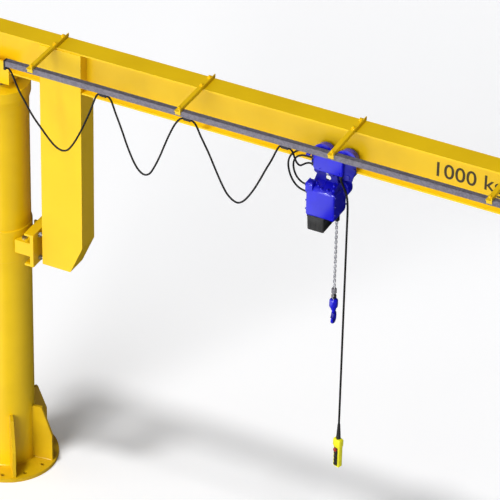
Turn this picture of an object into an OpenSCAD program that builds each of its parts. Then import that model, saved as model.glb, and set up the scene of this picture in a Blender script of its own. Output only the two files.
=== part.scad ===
// Pillar jib crane: a tube column on a bolted base plate, a jib beam that slews
// on a spindle at the column head and leans on two rollers through a downleg,
// and a motor trolley with a chain hoist, fed by a festoon cable.
// Origin: centre of the base plate's underside. +X along the jib, +Z up.

/* [Base plate] */
// Diameter of the round base plate
base_d = 664; // [620:1:760]
// Thickness of the base plate
base_t = 25; // [15:1:40]
// Number of anchor holes
anchor_n = 12; // [6:2:16]
// Pitch circle of the anchor holes
anchor_pcd = 566; // [540:1:590]
// Diameter of each anchor hole
anchor_d = 28; // [18:1:34]
// Turn of the base plate about the column
base_turn = 7; // [0:1:30]
// Height of a gusset above the base plate
gusset_h = 411; // [300:1:520]
// Height of a gusset's outer upright edge
gusset_foot_h = 200; // [80:1:260]
// Width of a gusset's top edge
gusset_top_w = 66; // [30:1:90]
// Reach of a gusset from the column's axis
gusset_reach = 315; // [290:1:320]
// Thickness of a gusset
gusset_t = 20; // [10:1:30]

/* [Column] */
// Outer diameter of the column tube
column_d = 355.6; // [340:0.1:372]
// Wall of the column tube
column_wall = 8; // [5:1:16]
// Height of the column tube's top edge
column_top = 2880; // [2860:1:2890]
// Height of the roller track's lower edge
track_z = 1640; // [1500:1:1660]
// Width of the roller track
track_w = 230; // [180:1:300]
// Thickness of the roller track
track_t = 8; // [4:1:12]

/* [Slewing head] */
// Thickness of the cap's skirt round the column
cap_skirt = 13; // [6:1:20]
// Height of the cap's skirt
cap_skirt_h = 55; // [30:1:90]
// Height of the taper under the cap's skirt
cap_cone_h = 45; // [20:1:70]
// Thickness of the cap's plate
cap_t = 15; // [10:1:20]
// Diameter of the slewing spindle
spindle_d = 90; // [60:1:110]
// Diameter of the thrust collar under the housing
collar_d = 150; // [130:1:200]
// Length of the pivot housing along the jib
housing_l = 224; // [180:1:300]
// Depth of the pivot housing under the beam
housing_h = 75; // [60:1:78]
// Height of the housing's cheeks above the beam's underside
cheek_h = 85; // [40:1:120]
// Thickness of the housing's cheeks
cheek_t = 12; // [8:1:20]

/* [Jib beam] */
// Height of the beam's underside above the floor
beam_z = 3000; // [2990:1:3020]
// Height of the beam section
beam_h = 284; // [260:1:300]
// Width of the beam's flanges
flange_w = 144; // [130:1:160]
// Thickness of the beam's flanges
flange_t = 11; // [8:1:14]
// Thickness of the beam's web
web_t = 8; // [6:1:12]
// Root radius between web and flanges
root_r = 12; // [6:1:16]
// Length of the beam behind the column's axis
beam_back = 260; // [200:1:400]
// Reach of the beam's tip from the column's axis
beam_reach = 4000; // [3960:1:4400]
// Thickness of the plates that close the beam's ends
end_plate_t = 8; // [5:1:15]
// Distance of the trolley's end stops from the beam's tip
stop_gap = 65; // [50:1:120]

/* [Downleg] */
// Distance of the downleg's column side from the axis
leg_x = 326; // [320:1:340]
// Width of the downleg along the jib
leg_w = 286; // [240:1:300]
// Height of the downleg's foot above the floor
leg_z = 1663; // [1600:1:1700]
// Plate thickness of the downleg
leg_wall = 7; // [5:1:12]
// Width of the slope at the downleg's foot
leg_slope_w = 86; // [40:1:120]
// Height of the slope at the downleg's foot
leg_slope_h = 202; // [100:1:260]

/* [Roller carriage] */
// Thickness of the carriage plate
carriage_t = 24; // [15:1:26]
// Width of the carriage plate across the jib
carriage_w = 270; // [264:1:300]
// Height of the carriage plate
carriage_h = 240; // [220:1:280]
// Gap between the carriage plate and the downleg
carriage_gap = 34; // [28:1:40]
// Height of the carriage's middle above the floor
carriage_z = 1776; // [1760:1:1790]
// Diameter of a guide roller
roller_d = 68; // [60:1:72]
// Height of a guide roller
roller_h = 60; // [40:1:66]
// Distance of a roller's axis from the jib's middle plane
roller_y = 86; // [80:1:88]
// Diameter of a roller's pin
roller_pin_d = 26; // [16:1:32]
// Height of a roller's fork
fork_h = 96; // [92:1:110]
// Thickness of a fork's plates
fork_t = 12; // [8:1:14]
// Diameter of the carriage's adjusting studs
stud_d = 20; // [12:1:24]

/* [Festoon rail] */
// Width of the C-rail
rail_w = 34; // [30:1:40]
// Height of the C-rail
rail_h = 38; // [34:1:44]
// Wall of the C-rail
rail_wall = 2.5; // [2:0.5:4]
// Width of the C-rail's slot
rail_slot = 12; // [11:1:14]
// Distance of the rail from the jib's middle plane
rail_y = 340; // [335:1:345]
// Start of the rail along the jib
rail_x = 250; // [245:1:255]
// Distance of the rail's end from the beam's tip
rail_gap = 50; // [20:1:100]
// Place of the first rail bracket
bracket_x = 425; // [400:1:450]
// Spacing of the rail brackets
bracket_pitch = 1000; // [900:1:1020]
// Width of a bracket's angle section
bracket_w = 40; // [30:1:60]
// Height of a bracket's angle section
bracket_h = 25; // [15:1:40]
// Thickness of a bracket's angle section
bracket_t = 5; // [3:1:8]

/* [Festoon] */
// Place of the first cable carrier
carrier_1_x = 911; // [909:1:913]
// Place of the second cable carrier
carrier_2_x = 1476; // [1474:1:1478]
// Place of the towed cable carrier
tow_x = 2118; // [2116:1:2120]
// Length of a carrier's clamp
clamp_l = 50; // [46:1:50]
// Width of a carrier's clamp
clamp_w = 16; // [14:1:26]
// Diameter of the festoon and control cables
cable_d = 12; // [8:1:14]

/* [Trolley] */
// Middle of the trolley along the jib
trolley_x = 2319; // [2315:1:2323]
// Spacing of the trolley's axles
wheel_pitch = 152; // [144:1:170]
// Tread diameter of a wheel
wheel_d = 116; // [100:1:124]
// Rim diameter of a wheel
rim_d = 140; // [126:1:142]
// Diameter of a wheel's axle
axle_d = 30; // [20:1:36]
// Length of a side plate
side_l = 290; // [286:1:310]
// Thickness of a side plate
side_t = 10; // [6:1:14]
// Length of the drive cover
cover_l = 192; // [170:1:210]
// Depth of the drive cover across the jib
cover_w = 26; // [15:1:40]
// Height of the drive cover
cover_h = 130; // [110:1:136]
// Diameter of the hanger rods
rod_d = 24; // [16:1:28]
// Spacing of the hanger rods
rod_pitch = 90; // [70:1:110]
// Diameter of the tie tube between the side plates
tie_d = 54; // [30:1:56]

/* [Hoist] */
// Length of the hoist's casing along the jib
hoist_l = 186; // [170:1:190]
// Width of the hoist's casing across the jib
hoist_w = 176; // [150:1:190]
// Height of the hoist's casing at its front
hoist_h = 198; // [180:1:200]
// Fall of the casing's top towards the back
hoist_fall = 42; // [40:1:60]
// Width of the bevel along the casing's lower edges
foot = 28; // [10:1:40]
// Height of the terminal box
terminal_h = 64; // [50:1:70]
// Diameter of the open eye in the suspension lug
eye_d = 24; // [16:1:28]
// Diameter of the hoist's motor
motor_d = 140; // [110:1:150]
// Length of the hoist's motor
motor_l = 66; // [50:1:120]
// Length of the chain bucket along the jib
bucket_l = 116; // [90:1:120]
// Width of the chain bucket across the jib
bucket_w = 146; // [110:1:160]
// Depth of the chain bucket
bucket_h = 110; // [80:1:160]

/* [Chain and hook] */
// Wire diameter of the chain
chain_wire = 6; // [4:1:6]
// Inner length of a chain link
link_l = 18; // [16.5:0.5:20]
// Inner width of a chain link
link_w = 8; // [7.5:0.5:10]
// Number of links from the hoist to the hook block
chain_links = 31; // [24:1:34]
// Width of the hook block
block_d = 54; // [48:1:80]
// Height of the hook block
block_h = 66; // [50:1:80]
// Diameter of the chain stopper above the hook block
stopper_d = 38; // [30:1:50]
// Radius of the hook's bowl, to the middle of its bar
bowl_r = 31; // [26:1:40]
// Thickness of the hook's bar
hook_bar = 24; // [16:1:26]
// Turn of the hook about its shank
hook_turn = 102; // [0:1:359]

/* [Pendant control] */
// Width of the pendant
pendant_w = 50; // [45:1:70]
// Depth of the pendant
pendant_t = 38; // [30:1:60]
// Height of the pendant
pendant_h = 237; // [200:1:280]
// Turn of the pendant about its cable
pendant_turn = -20; // [-180:1:180]

/* [Hidden] */
$fn = 48;
seat = 0.3;         // gap of a seated or rolling contact
fit = 0.05;         // radial clearance of a turning fit
column_r = column_d / 2;
track_r = column_r + track_t;
head_z = column_top + cap_t;
housing_z = beam_z - housing_h;
flange_top = beam_z + flange_t;
beam_top = beam_z + beam_h;
leg_d = flange_w + 2 * (leg_wall + seat);
leg_right = leg_x + leg_w;
leg_top = beam_top - flange_t - seat;
carriage_x = leg_x - carriage_gap - carriage_t;
carriage_low = carriage_z - carriage_h / 2;
roller_r = roller_d / 2;
roller_x = sqrt(pow(track_r + seat + roller_r, 2) - pow(roller_y, 2));
fork_wall = 6;
fork_front = roller_y + roller_r + 4 + fork_wall;
fork_back = roller_y - roller_r - 6;
fork_left = roller_x - roller_r - 12;
stud_y = 55;
stud_z = 85;
rail_z = beam_top - rail_h;
stop_x = beam_reach - stop_gap;
rail_end = beam_reach - rail_gap;
bracket_n = 4;
bracket_far = 80;
clamp_z = rail_z - 25;
clamp_h = 18;
axle_z = flange_top + seat + wheel_d / 2;
wheel_in = 22;
wheel_out = 76;
side_y = 80;
side_z = 2995;
side_h = 100;
cover_x = 2196;
cover_z = 2972;
cover_y = -(side_y + side_t + cover_w);
gland_d = 22;
gland_l = 10;
power_gland_y = cover_y + cover_w / 2;
power_gland_z = [3002, 3045, 3080];
pendant_gland_x = 2376;
terminal_gland_z = 2815;
casing_gland_z = 2765;
hanger_x = 2262;
tie_x = 2414;
tie_z = 2966;
rod_z = 2957;
pin_z = 2915;
pin_d = 24;
lug_t = 20;
ear_t = 12;
hoist_x = 2144;
hoist_z = 2612;
hoist_top = hoist_z + hoist_h;
terminal_x = 2137;
terminal_l = 48;
terminal_w = 58;
terminal_y = (terminal_w - hoist_w) / 2;
terminal_z = 2782;
eye_x = 2249;
eye_z = pin_z - 51;
travel_x = (hanger_x + rod_pitch / 2 + tie_x) / 2;
chain_x = 2313;
guide_h = 30;
guide_r = 17;
motor_x = 2272;
motor_z = 2740;
bucket_x = 2146;
chain_bore = link_w / 2 + chain_wire + seat;
chain_step = link_l - seat;
chain_top = hoist_z - seat;
chain_low = chain_top - (chain_links - 1) * chain_step - link_l - 2 * chain_wire;
block_z = 1940;
block_top = block_z + block_h;
stopper_z = block_top + 42;
stopper_h = 36;
shank_d = 20;
shank_l = 26;
bowl_z = block_z - shank_l - bowl_r - hook_bar / 2;
pendant_x = 2408;
pendant_y = -60;
pendant_z = 778;
relief_top = 1130;
button_z = 35;
button_pitch = 34;
stop_button_z = 190;
blue = [0.10, 0.09, 0.80];
yellow = [1.00, 0.84, 0.10];

// Routes of the cables, each point chosen by eye. The festoon loops lie in the
// plane of the rail, so their points give x and z alone.
loop_1 = [[250.3, 3230], [263, 3226], [275, 3212], [290, 3186], [310, 3140],
    [335, 3085], [370, 3028], [405, 2968], [440, 2918], [485, 2865], [530, 2812],
    [575, 2770], [620, 2752], [660, 2765], [695, 2810], [730, 2875], [765, 2952],
    [795, 3025], [825, 3103], [846, 3166], [860, 3204], [872, 3224], [885.7, 3230]];
loop_2 = [[936.3, 3230], [950, 3225], [963, 3208], [976, 3178], [993, 3130],
    [1015, 3075], [1040, 3010], [1065, 2940], [1090, 2878], [1120, 2815], [1155, 2768],
    [1192, 2752], [1228, 2775], [1262, 2840], [1295, 2920], [1325, 3005], [1355, 3085],
    [1385, 3155], [1408, 3195], [1428, 3219], [1450.7, 3230]];
loop_3 = [[1501.3, 3230], [1522, 3219], [1541, 3190], [1562, 3145], [1590, 3092],
    [1620, 3035], [1650, 2970], [1680, 2905], [1710, 2845], [1745, 2788], [1785, 2755],
    [1820, 2748], [1855, 2772], [1890, 2820], [1925, 2882], [1960, 2955], [1995, 3035],
    [2030, 3110], [2055, 3172], [2070, 3207], [2081, 3225], [2092.7, 3230]];
tow_route = [[2143.3, -340, 3230], [2157, -339.5, 3224], [2168, -336, 3202],
    [2175, -324, 3162], [2178, -302, 3122], [2175, -268, 3086], [2166, -228, 3056],
    [2156, -188, 3031], [2149, -150, 3012], [2152, -120, 3004], [2166, -104, 3002],
    [2185.7, -103, 3002]];
inner_route = [[2185.7, -103, 3045], [2155, -102.5, 3045], [2117, -98, 3038],
    [2082, -93, 3015], [2060, -86, 2980], [2052, -79, 2940], [2055, -72, 2898],
    [2066, -66, 2862], [2084, -61, 2835], [2105, -59, 2820], [2126.7, -59, 2815]];
outer_route = [[2185.7, -103, 3080], [2148, -102.5, 3080], [2105, -99, 3070],
    [2065, -94, 3043], [2035, -88, 3003], [2020, -82, 2955], [2020, -76, 2905],
    [2030, -70, 2857], [2048, -65, 2816], [2073, -61, 2785], [2103, -59, 2769],
    [2133.7, -59, 2765]];
pendant_route = [[2376, -103, 2961.7], [2377, -102.5, 2942], [2384, -96, 2912],
    [2393, -85, 2876], [2401, -73, 2832], [2406, -64, 2780], [2408, -60, 2700],
    [2408, -60, 2560], [2408, -60, 2400], [2408, -60, 2240], [2408, -60, 2080],
    [2408, -60, 1920], [2408, -60, 1760], [2408, -60, 1600], [2408, -60, 1440],
    [2408, -60, 1280], [2408, -60, 1130.3]];

// A bar of the given section box: from one corner to the opposite one
module block(low, high) {
    translate(low) cube(high - low);
}

// A round bar along X or Y, from its middle start point
module bar_x(at, d, l) {
    translate(at) rotate([0, 90, 0]) cylinder(d = d, h = l);
}

module bar_y(at, d, l) {
    translate(at) rotate([-90, 0, 0]) cylinder(d = d, h = l);
}

// A hexagon nut or bolt head along X or Y
module hex_x(at, across, l) {
    translate(at) rotate([0, 90, 0]) cylinder(d = across / cos(30), h = l, $fn = 6);
}

module hex_y(at, across, l) {
    translate(at) rotate([-90, 0, 0]) cylinder(d = across / cos(30), h = l, $fn = 6);
}

// A plate outline in x and z, drawn out across the jib from y0 to y1
module slab_y(y0, y1, points) {
    translate([0, y1, 0]) rotate([90, 0, 0]) linear_extrude(y1 - y0) polygon(points);
}

// Points of a quarter round: centre, radius, first angle
function quarter(c, r, a0) = [for (k = [0 : 3]) c + r * [cos(a0 + 30 * k), sin(a0 + 30 * k)]];

// A round cable swept along its route: rings of eight points and two end faces
function unit(v) = v / norm(v);
function heading(p, i) = unit(p[min(i + 1, len(p) - 1)] - p[max(i - 1, 0)]);
function ring_at(c, t, r) = let (u = unit(cross(t, [0, 1, 0])), v = cross(u, t))
    [for (k = [0 : 7]) c + r * (cos(45 * k) * u + sin(45 * k) * v)];

module cable(route, first = undef, last = undef) {
    n = len(route);
    rings = [for (i = [0 : n - 1]) each ring_at(route[i],
        i == 0 && first != undef ? first : i == n - 1 && last != undef ? last : heading(route, i),
        cable_d / 2)];
    sides = [for (i = [0 : n - 2]) for (k = [0 : 7])
        [8 * i + k, 8 * i + (k + 1) % 8, 8 * i + 8 + (k + 1) % 8, 8 * i + 8 + k]];
    ends = [[for (k = [7 : -1 : 0]) k], [for (k = [0 : 7]) 8 * (n - 1) + k]];
    polyhedron(rings, concat(sides, ends));
}

function rail_plane(flat) = [for (p = flat) [p[0], -rail_y, p[1]]];

// ---- Pillar ----

module base_plate() {
    color(yellow) difference() {
        cylinder(d = base_d, h = base_t, $fn = 96);
        for (k = [0 : anchor_n - 1])
            rotate(base_turn + (k + 0.5) * 360 / anchor_n)
                translate([anchor_pcd / 2, 0, -1]) cylinder(d = anchor_d, h = base_t + 2);
    }
}

module gussets() {
    color(yellow) for (k = [0 : anchor_n / 2 - 1])
        rotate(base_turn + k * 720 / anchor_n) difference() {
            translate([0, 0, base_t]) slab_y(-gusset_t / 2, gusset_t / 2,
                [[column_r - gusset_t, 0], [gusset_reach, 0], [gusset_reach, gusset_foot_h],
                 [column_r + gusset_top_w, gusset_h], [column_r - gusset_t, gusset_h]]);
            cylinder(r = column_r, h = base_t + gusset_h + 1, $fn = 96);
        }
}

module column() {
    color(yellow) translate([0, 0, base_t]) difference() {
        cylinder(r = column_r, h = column_top - base_t, $fn = 96);
        translate([0, 0, -1])
            cylinder(r = column_r - column_wall, h = column_top - base_t + 2, $fn = 96);
    }
}

module track_ring() {
    color(yellow) translate([0, 0, track_z]) difference() {
        cylinder(r = track_r, h = track_w, $fn = 96);
        translate([0, 0, -1]) cylinder(r = column_r, h = track_w + 2, $fn = 96);
    }
}

module head_cap() {
    r = column_r + cap_skirt;
    skirt_z = column_top - cap_skirt_h;
    color(yellow) rotate_extrude($fn = 96) polygon([[0, column_top], [column_r, column_top],
        [column_r, skirt_z - cap_cone_h], [column_r + 2, skirt_z - cap_cone_h], [r, skirt_z],
        [r, head_z - 3], [r - 3, head_z], [0, head_z]]);
}

module spindle() {
    color("silver") {
        translate([0, 0, head_z]) cylinder(d = collar_d, h = housing_z - seat - head_z);
        translate([0, 0, housing_z - seat - 1])
            cylinder(d = spindle_d, h = housing_h * 0.8 + 1);
    }
}

// ---- Jib ----

// Outline of the beam in y and z, grown by a clearance
function beam_outline(grow) = let (w = flange_w / 2 + grow, s = web_t / 2 + grow,
        low = beam_z + flange_t + grow, high = beam_top - flange_t - grow, r = root_r)
    concat([[-w, beam_z - grow], [w, beam_z - grow], [w, low]],
        [for (p = quarter([s + r, low + r], r, 270)) [2 * (s + r) - p[0], p[1]]],
        [for (p = quarter([s + r, high - r], r, 0)) [2 * (s + r) - p[0], p[1]]],
        [[w, high], [w, beam_top + grow], [-w, beam_top + grow], [-w, high]],
        [for (p = quarter([-s - r, high - r], r, 90)) [-2 * (s + r) - p[0], p[1]]],
        [for (p = quarter([-s - r, low + r], r, 180)) [-2 * (s + r) - p[0], p[1]]],
        [[-w, low]]);

module along_x(x0, x1, outline) {
    translate([x0, 0, 0]) rotate([90, 0, 90]) linear_extrude(x1 - x0) polygon(outline);
}

module beam() {
    color(yellow) along_x(-beam_back, beam_reach, beam_outline(0));
}

module beam_end_plates() {
    w = flange_w / 2;
    color(yellow) {
        block([-beam_back - end_plate_t, -w, beam_z], [-beam_back, w, beam_top]);
        block([beam_reach, -w, beam_z], [beam_reach + end_plate_t, w, beam_top]);
    }
}

module end_stops() {
    inner = web_t / 2 + root_r + 2;
    for (side = [-1, 1]) {
        color(yellow) mirror([0, side < 0 ? 1 : 0, 0])
            block([stop_x, inner, flange_top], [stop_x + 15, flange_w / 2, flange_top + 90]);
        color("dimgray")
            bar_x([stop_x - 28, side * (inner + flange_w / 2) / 2, flange_top + 55], 40, 28);
    }
}

module pivot_housing() {
    outer = flange_w / 2 + seat + cheek_t;
    color(yellow) difference() {
        union() {
            block([-housing_l / 2, -outer, housing_z], [housing_l / 2, outer, beam_z]);
            for (side = [-1, 1]) mirror([0, side < 0 ? 1 : 0, 0])
                block([-housing_l / 2, outer - cheek_t, beam_z - 1],
                    [housing_l / 2, outer, beam_z + cheek_h]);
        }
        translate([0, 0, housing_z - 1])
            cylinder(d = spindle_d + 2 * fit, h = housing_h * 0.8 + 1 + seat);
    }
}

// Outline of the downleg in x and z, moved in by the plate thickness w
function leg_outline(w, top) = let (a = atan2(leg_slope_h, leg_slope_w))
    [[leg_x + w, leg_z + w], [leg_right - leg_slope_w - w * tan(a / 2), leg_z + w],
     [leg_right - w, leg_z + leg_slope_h + w * tan((90 - a) / 2)],
     [leg_right - w, top], [leg_x + w, top]];

module downleg() {
    y = leg_d / 2;
    color(yellow) difference() {
        slab_y(-y, y, leg_outline(0, leg_top));
        slab_y(-y + leg_wall, y - leg_wall, leg_outline(leg_wall, leg_top + 1));
        along_x(leg_x - 1, leg_right + 1, beam_outline(seat));
    }
}

module carriage_plate() {
    w = carriage_w / 2;
    x1 = carriage_x + carriage_t;
    lip = 40;
    lip_t = 15;
    color(yellow) difference() {
        union() {
            block([carriage_x, -w, carriage_low], [x1, w, carriage_low + carriage_h]);
            for (z = [carriage_low, carriage_low + carriage_h - lip_t])
                block([carriage_x - lip, -w, z], [carriage_x + 1, w, z + lip_t]);
        }
        for (y = [-stud_y, stud_y]) for (z = [-stud_z, stud_z])
            bar_x([carriage_x - 1, y, carriage_z + z], stud_d + 1, carriage_t + 2);
    }
}

module roller_forks() {
    right = carriage_x;
    for (side = [-1, 1]) color(yellow) mirror([0, side < 0 ? 1 : 0, 0]) difference() {
        union() {
            for (z = [carriage_z - fork_h / 2, carriage_z + fork_h / 2 - fork_t])
                block([fork_left, fork_back, z], [right, fork_front, z + fork_t]);
            block([fork_left, fork_front - fork_wall, carriage_z - fork_h / 2],
                [right, fork_front, carriage_z + fork_h / 2]);
        }
        translate([0, 0, carriage_z - fork_h])
            cylinder(r = track_r + 8, h = 2 * fork_h, $fn = 96);
        translate([roller_x, roller_y, carriage_z - fork_h])
            cylinder(d = roller_pin_d + 2 * fit, h = 2 * fork_h);
    }
}

module roller_pins() {
    half = fork_h / 2;
    for (side = [-1, 1]) color("silver") translate([roller_x, side * roller_y, carriage_z]) {
        translate([0, 0, -half - 8]) cylinder(d = roller_pin_d, h = 2 * half + 8);
        translate([0, 0, half]) cylinder(d = roller_pin_d + 10, h = 8);
    }
}

module roller(side) {
    color("dimgray") translate([roller_x, side * roller_y, carriage_z - roller_h / 2])
        difference() {
            cylinder(d = roller_d, h = roller_h);
            translate([0, 0, -1]) cylinder(d = roller_pin_d + 2 * fit, h = roller_h + 2);
        }
}

module carriage_studs() {
    nut = stud_d * 0.8;
    across = stud_d * 1.5;
    for (y = [-stud_y, stud_y]) for (z = [carriage_z - stud_z, carriage_z + stud_z])
        color("silver") {
            bar_x([carriage_x - nut - 6, y, z], stud_d, leg_x - carriage_x + nut + 6);
            hex_x([carriage_x - nut, y, z], across, nut);
            hex_x([carriage_x + carriage_t, y, z], across, nut);
        }
}

// Angle sections over the beam, each with a tab down the front of the rail
module rail_brackets() {
    near = rail_y + rail_w / 2 + 20;
    tab = rail_y + rail_w / 2 + seat;
    color(yellow) for (k = [0 : bracket_n - 1]) translate([bracket_x + k * bracket_pitch, 0, 0]) {
        block([-bracket_w / 2, -tab - bracket_t, beam_top - rail_h * 0.7],
            [bracket_w / 2 - bracket_t, -tab, beam_top + bracket_t]);
        slab_y(-near, bracket_far, [[-bracket_w / 2, beam_top], [bracket_w / 2, beam_top],
            [bracket_w / 2, beam_top + bracket_h], [bracket_w / 2 - bracket_t, beam_top + bracket_h],
            [bracket_w / 2 - bracket_t, beam_top + bracket_t], [-bracket_w / 2, beam_top + bracket_t]]);
    }
}

module festoon_rail() {
    w = rail_w / 2;
    s = rail_slot / 2;
    t = rail_wall;
    color("gray") translate([0, -rail_y, rail_z]) along_x(rail_x, rail_end,
        [[s, 0], [w, 0], [w, rail_h], [-w, rail_h], [-w, 0], [-s, 0], [-s, t], [t - w, t],
         [t - w, rail_h - t], [w - t, rail_h - t], [w - t, t], [s, t]]);
}

module rail_clamp() {
    w = rail_w / 2;
    color("dimgray") {
        block([rail_x - 14, -rail_y - w, clamp_z], [rail_x, -rail_y + w, beam_top]);
        block([rail_end, -rail_y - w, rail_z], [rail_end + 4, -rail_y + w, beam_top]);
    }
}

// A cable carrier: four small wheels in the rail, a hanger through the slot and
// a clamp under it that holds the cable
module carrier(x) {
    wheel_r = 10;
    lip = rail_z + rail_wall + seat;
    hanger_t = rail_slot - 5;
    color("dimgray") translate([x, -rail_y, 0]) {
        block([-24, -hanger_t / 2, clamp_z + clamp_h - 1], [24, hanger_t / 2, lip + wheel_r + 5]);
        for (dx = [-16, 16])
            bar_y([dx, -rail_w / 2 + rail_wall + 2, lip + wheel_r], 2 * wheel_r,
                rail_w - 2 * rail_wall - 4);
        slab_y(-clamp_w / 2, clamp_w / 2, [[-clamp_l / 2, clamp_z + 3], [-clamp_l / 2 + 3, clamp_z],
            [clamp_l / 2 - 3, clamp_z], [clamp_l / 2, clamp_z + 3],
            [clamp_l / 2, clamp_z + clamp_h - 4], [clamp_l / 2 - 8, clamp_z + clamp_h],
            [8 - clamp_l / 2, clamp_z + clamp_h], [-clamp_l / 2, clamp_z + clamp_h - 4]]);
    }
}

module festoon_loop_1() {
    color("black") cable(rail_plane(loop_1), [1, 0, 0], [1, 0, 0]);
}

module festoon_loop_2() {
    color("black") cable(rail_plane(loop_2), [1, 0, 0], [1, 0, 0]);
}

module festoon_loop_3() {
    color("black") cable(rail_plane(loop_3), [1, 0, 0], [1, 0, 0]);
}

// ---- Trolley ----

// Side plates with a tongue for the hanger rods and one for the tie tube
module trolley_sides() {
    x0 = trolley_x - side_l / 2;
    x1 = trolley_x + side_l / 2;
    tongue = rod_z - 30;
    left = hanger_x - rod_pitch / 2 - 25;
    right = hanger_x + rod_pitch / 2 + 25;
    tie_r = tie_d / 2;
    for (side = [-1, 1]) color(blue) mirror([0, side < 0 ? 1 : 0, 0]) difference() {
        slab_y(side_y, side_y + side_t, [[left + 10, tongue], [right - 10, tongue],
            [right, tongue + 10], [right + 8, side_z], [tie_x - tie_r - 10, side_z],
            [tie_x - tie_r, tie_z - tie_r], [tie_x + tie_r, tie_z - tie_r],
            [tie_x + tie_r + 14, side_z], [x1, side_z + 12], [x1, side_z + side_h - 25],
            [x1 - 25, side_z + side_h], [x0 + 25, side_z + side_h],
            [x0, side_z + side_h - 25], [x0, side_z], [left, side_z], [left, tongue + 10]]);
        for (dx = [-wheel_pitch / 2, wheel_pitch / 2])
            bar_y([trolley_x + dx, side_y - 1, axle_z], axle_d, side_t + 2);
        for (dx = [-rod_pitch / 2, rod_pitch / 2])
            bar_y([hanger_x + dx, side_y - 1, rod_z], rod_d + 2 * seat, side_t + 2);
        bar_y([tie_x, side_y - 1, tie_z], rod_d + 2 * seat, side_t + 2);
    }
}

module wheel_axles() {
    for (side = [-1, 1]) for (dx = [-wheel_pitch / 2, wheel_pitch / 2])
        color("silver") mirror([0, side < 0 ? 1 : 0, 0]) {
            bar_y([trolley_x + dx, wheel_in - 2, axle_z], axle_d, side_y + side_t - wheel_in + 2);
        }
}

// A wheel turned in one piece: hub, dished web, tread and rim
module wheel(side, dx) {
    bore = axle_d / 2 + fit;
    tread = wheel_d / 2;
    rim = flange_w / 2 + 1.5;
    mid = (wheel_in + wheel_out) / 2;
    color(blue) mirror([0, side < 0 ? 1 : 0, 0]) translate([trolley_x + dx, 0, axle_z])
        rotate([-90, 0, 0]) rotate_extrude($fn = 64) polygon([[bore, wheel_in],
            [tread * 0.5, wheel_in], [tread * 0.5 + 4, mid - 6], [tread - 13, mid - 6],
            [tread - 9, wheel_in], [tread - 2, wheel_in], [tread, wheel_in + 2], [tread, rim],
            [rim_d / 2 - 2, rim], [rim_d / 2, rim + 1.5], [rim_d / 2, wheel_out - 1],
            [tread - 9, wheel_out - 1], [tread - 13, mid + 6], [tread * 0.5 + 4, mid + 6],
            [tread * 0.5, wheel_out], [bore, wheel_out]]);
}

// A pressed cover with a raised front
module drive_cover() {
    color(blue) {
        slab_y(cover_y + 4, cover_y + cover_w, cover_outline(0));
        slab_y(cover_y, cover_y + cover_w, cover_outline(8));
    }
}

// Outline of the drive cover in x and z, moved in by a margin
function cover_outline(in) = let (x0 = cover_x + in, x1 = cover_x + cover_l - in,
        z0 = cover_z + in, z1 = cover_z + cover_h - in)
    [[x0 + 30, z0], [x1 - 4, z0], [x1, z0 + 4], [x1, z1 - 4], [x1 - 4, z1], [x0 + 4, z1],
     [x0, z1 - 4], [x0, z0 + 16], [x0 + 8, z0 + 6]];

// Gear case on the far side plate, with the travel motor across its foot
module travel_motor() {
    y = side_y + side_t;
    x = travel_x;
    half = 30;
    color(blue) {
        block([x - half, y, side_z - 60], [x + half, y + 40, side_z + 60]);
        block([x - half, y + 30, side_z - 60], [x + half, y + 60, side_z + 20]);
        bar_x([x - 90, y + 85, side_z - 20], 78, 180);
        for (k = [0 : 7]) bar_x([x - 86 + 14 * k, y + 85, side_z - 20], 86, 5);
        bar_x([x + 40, y + 85, side_z - 20], 86, 50);
    }
}

// Two rods that carry the hoist's yoke, and a third one with the tie tube on it
module hanger_rods() {
    y = side_y + side_t;
    nut = rod_d * 0.8;
    for (at = [[hanger_x - rod_pitch / 2, rod_z], [hanger_x + rod_pitch / 2, rod_z],
            [tie_x, tie_z]]) color("silver") {
        bar_y([at[0], -y + 1, at[1]], rod_d, 2 * y + nut + 3);
        hex_y([at[0], y, at[1]], rod_d * 1.5, nut);
    }
    color(blue) difference() {
        bar_y([tie_x, seat - side_y, tie_z], tie_d, 2 * side_y - 2 * seat);
        bar_y([tie_x, -side_y, tie_z], rod_d + 2 * seat, 2 * side_y);
    }
}

// Two ears on a sleeve round each hanger rod
module hanger_yoke() {
    inner = lug_t / 2 + 1;
    half = rod_pitch / 2;
    color(blue) difference() {
        union() {
            for (side = [-1, 1]) mirror([0, side < 0 ? 1 : 0, 0])
                slab_y(inner, inner + ear_t,
                    [[hanger_x - 18, pin_z - 20], [hanger_x + 18, pin_z - 20],
                     [hanger_x + 28, pin_z - 8], [hanger_x + half + 22, rod_z - 18],
                     [hanger_x + half + 22, rod_z + 18], [hanger_x - half - 22, rod_z + 18],
                     [hanger_x - half - 22, rod_z - 18], [hanger_x - 28, pin_z - 8]]);
            for (dx = [-half, half])
                bar_y([hanger_x + dx, -inner - 1, rod_z], rod_d + 16, 2 * inner + 2);
        }
        for (dx = [-half, half])
            bar_y([hanger_x + dx, -side_y, rod_z], rod_d + 2 * seat, 2 * side_y);
        bar_y([hanger_x, -side_y, pin_z], pin_d + 2 * fit, 2 * side_y);
    }
}

module suspension_pin() {
    y = lug_t / 2 + 1 + ear_t;
    color("silver") {
        bar_y([hanger_x, -y - 8, pin_z], pin_d, 2 * y + 14);
        bar_y([hanger_x, -y - 8 - seat, pin_z], pin_d + 8, 8);
    }
}

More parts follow.
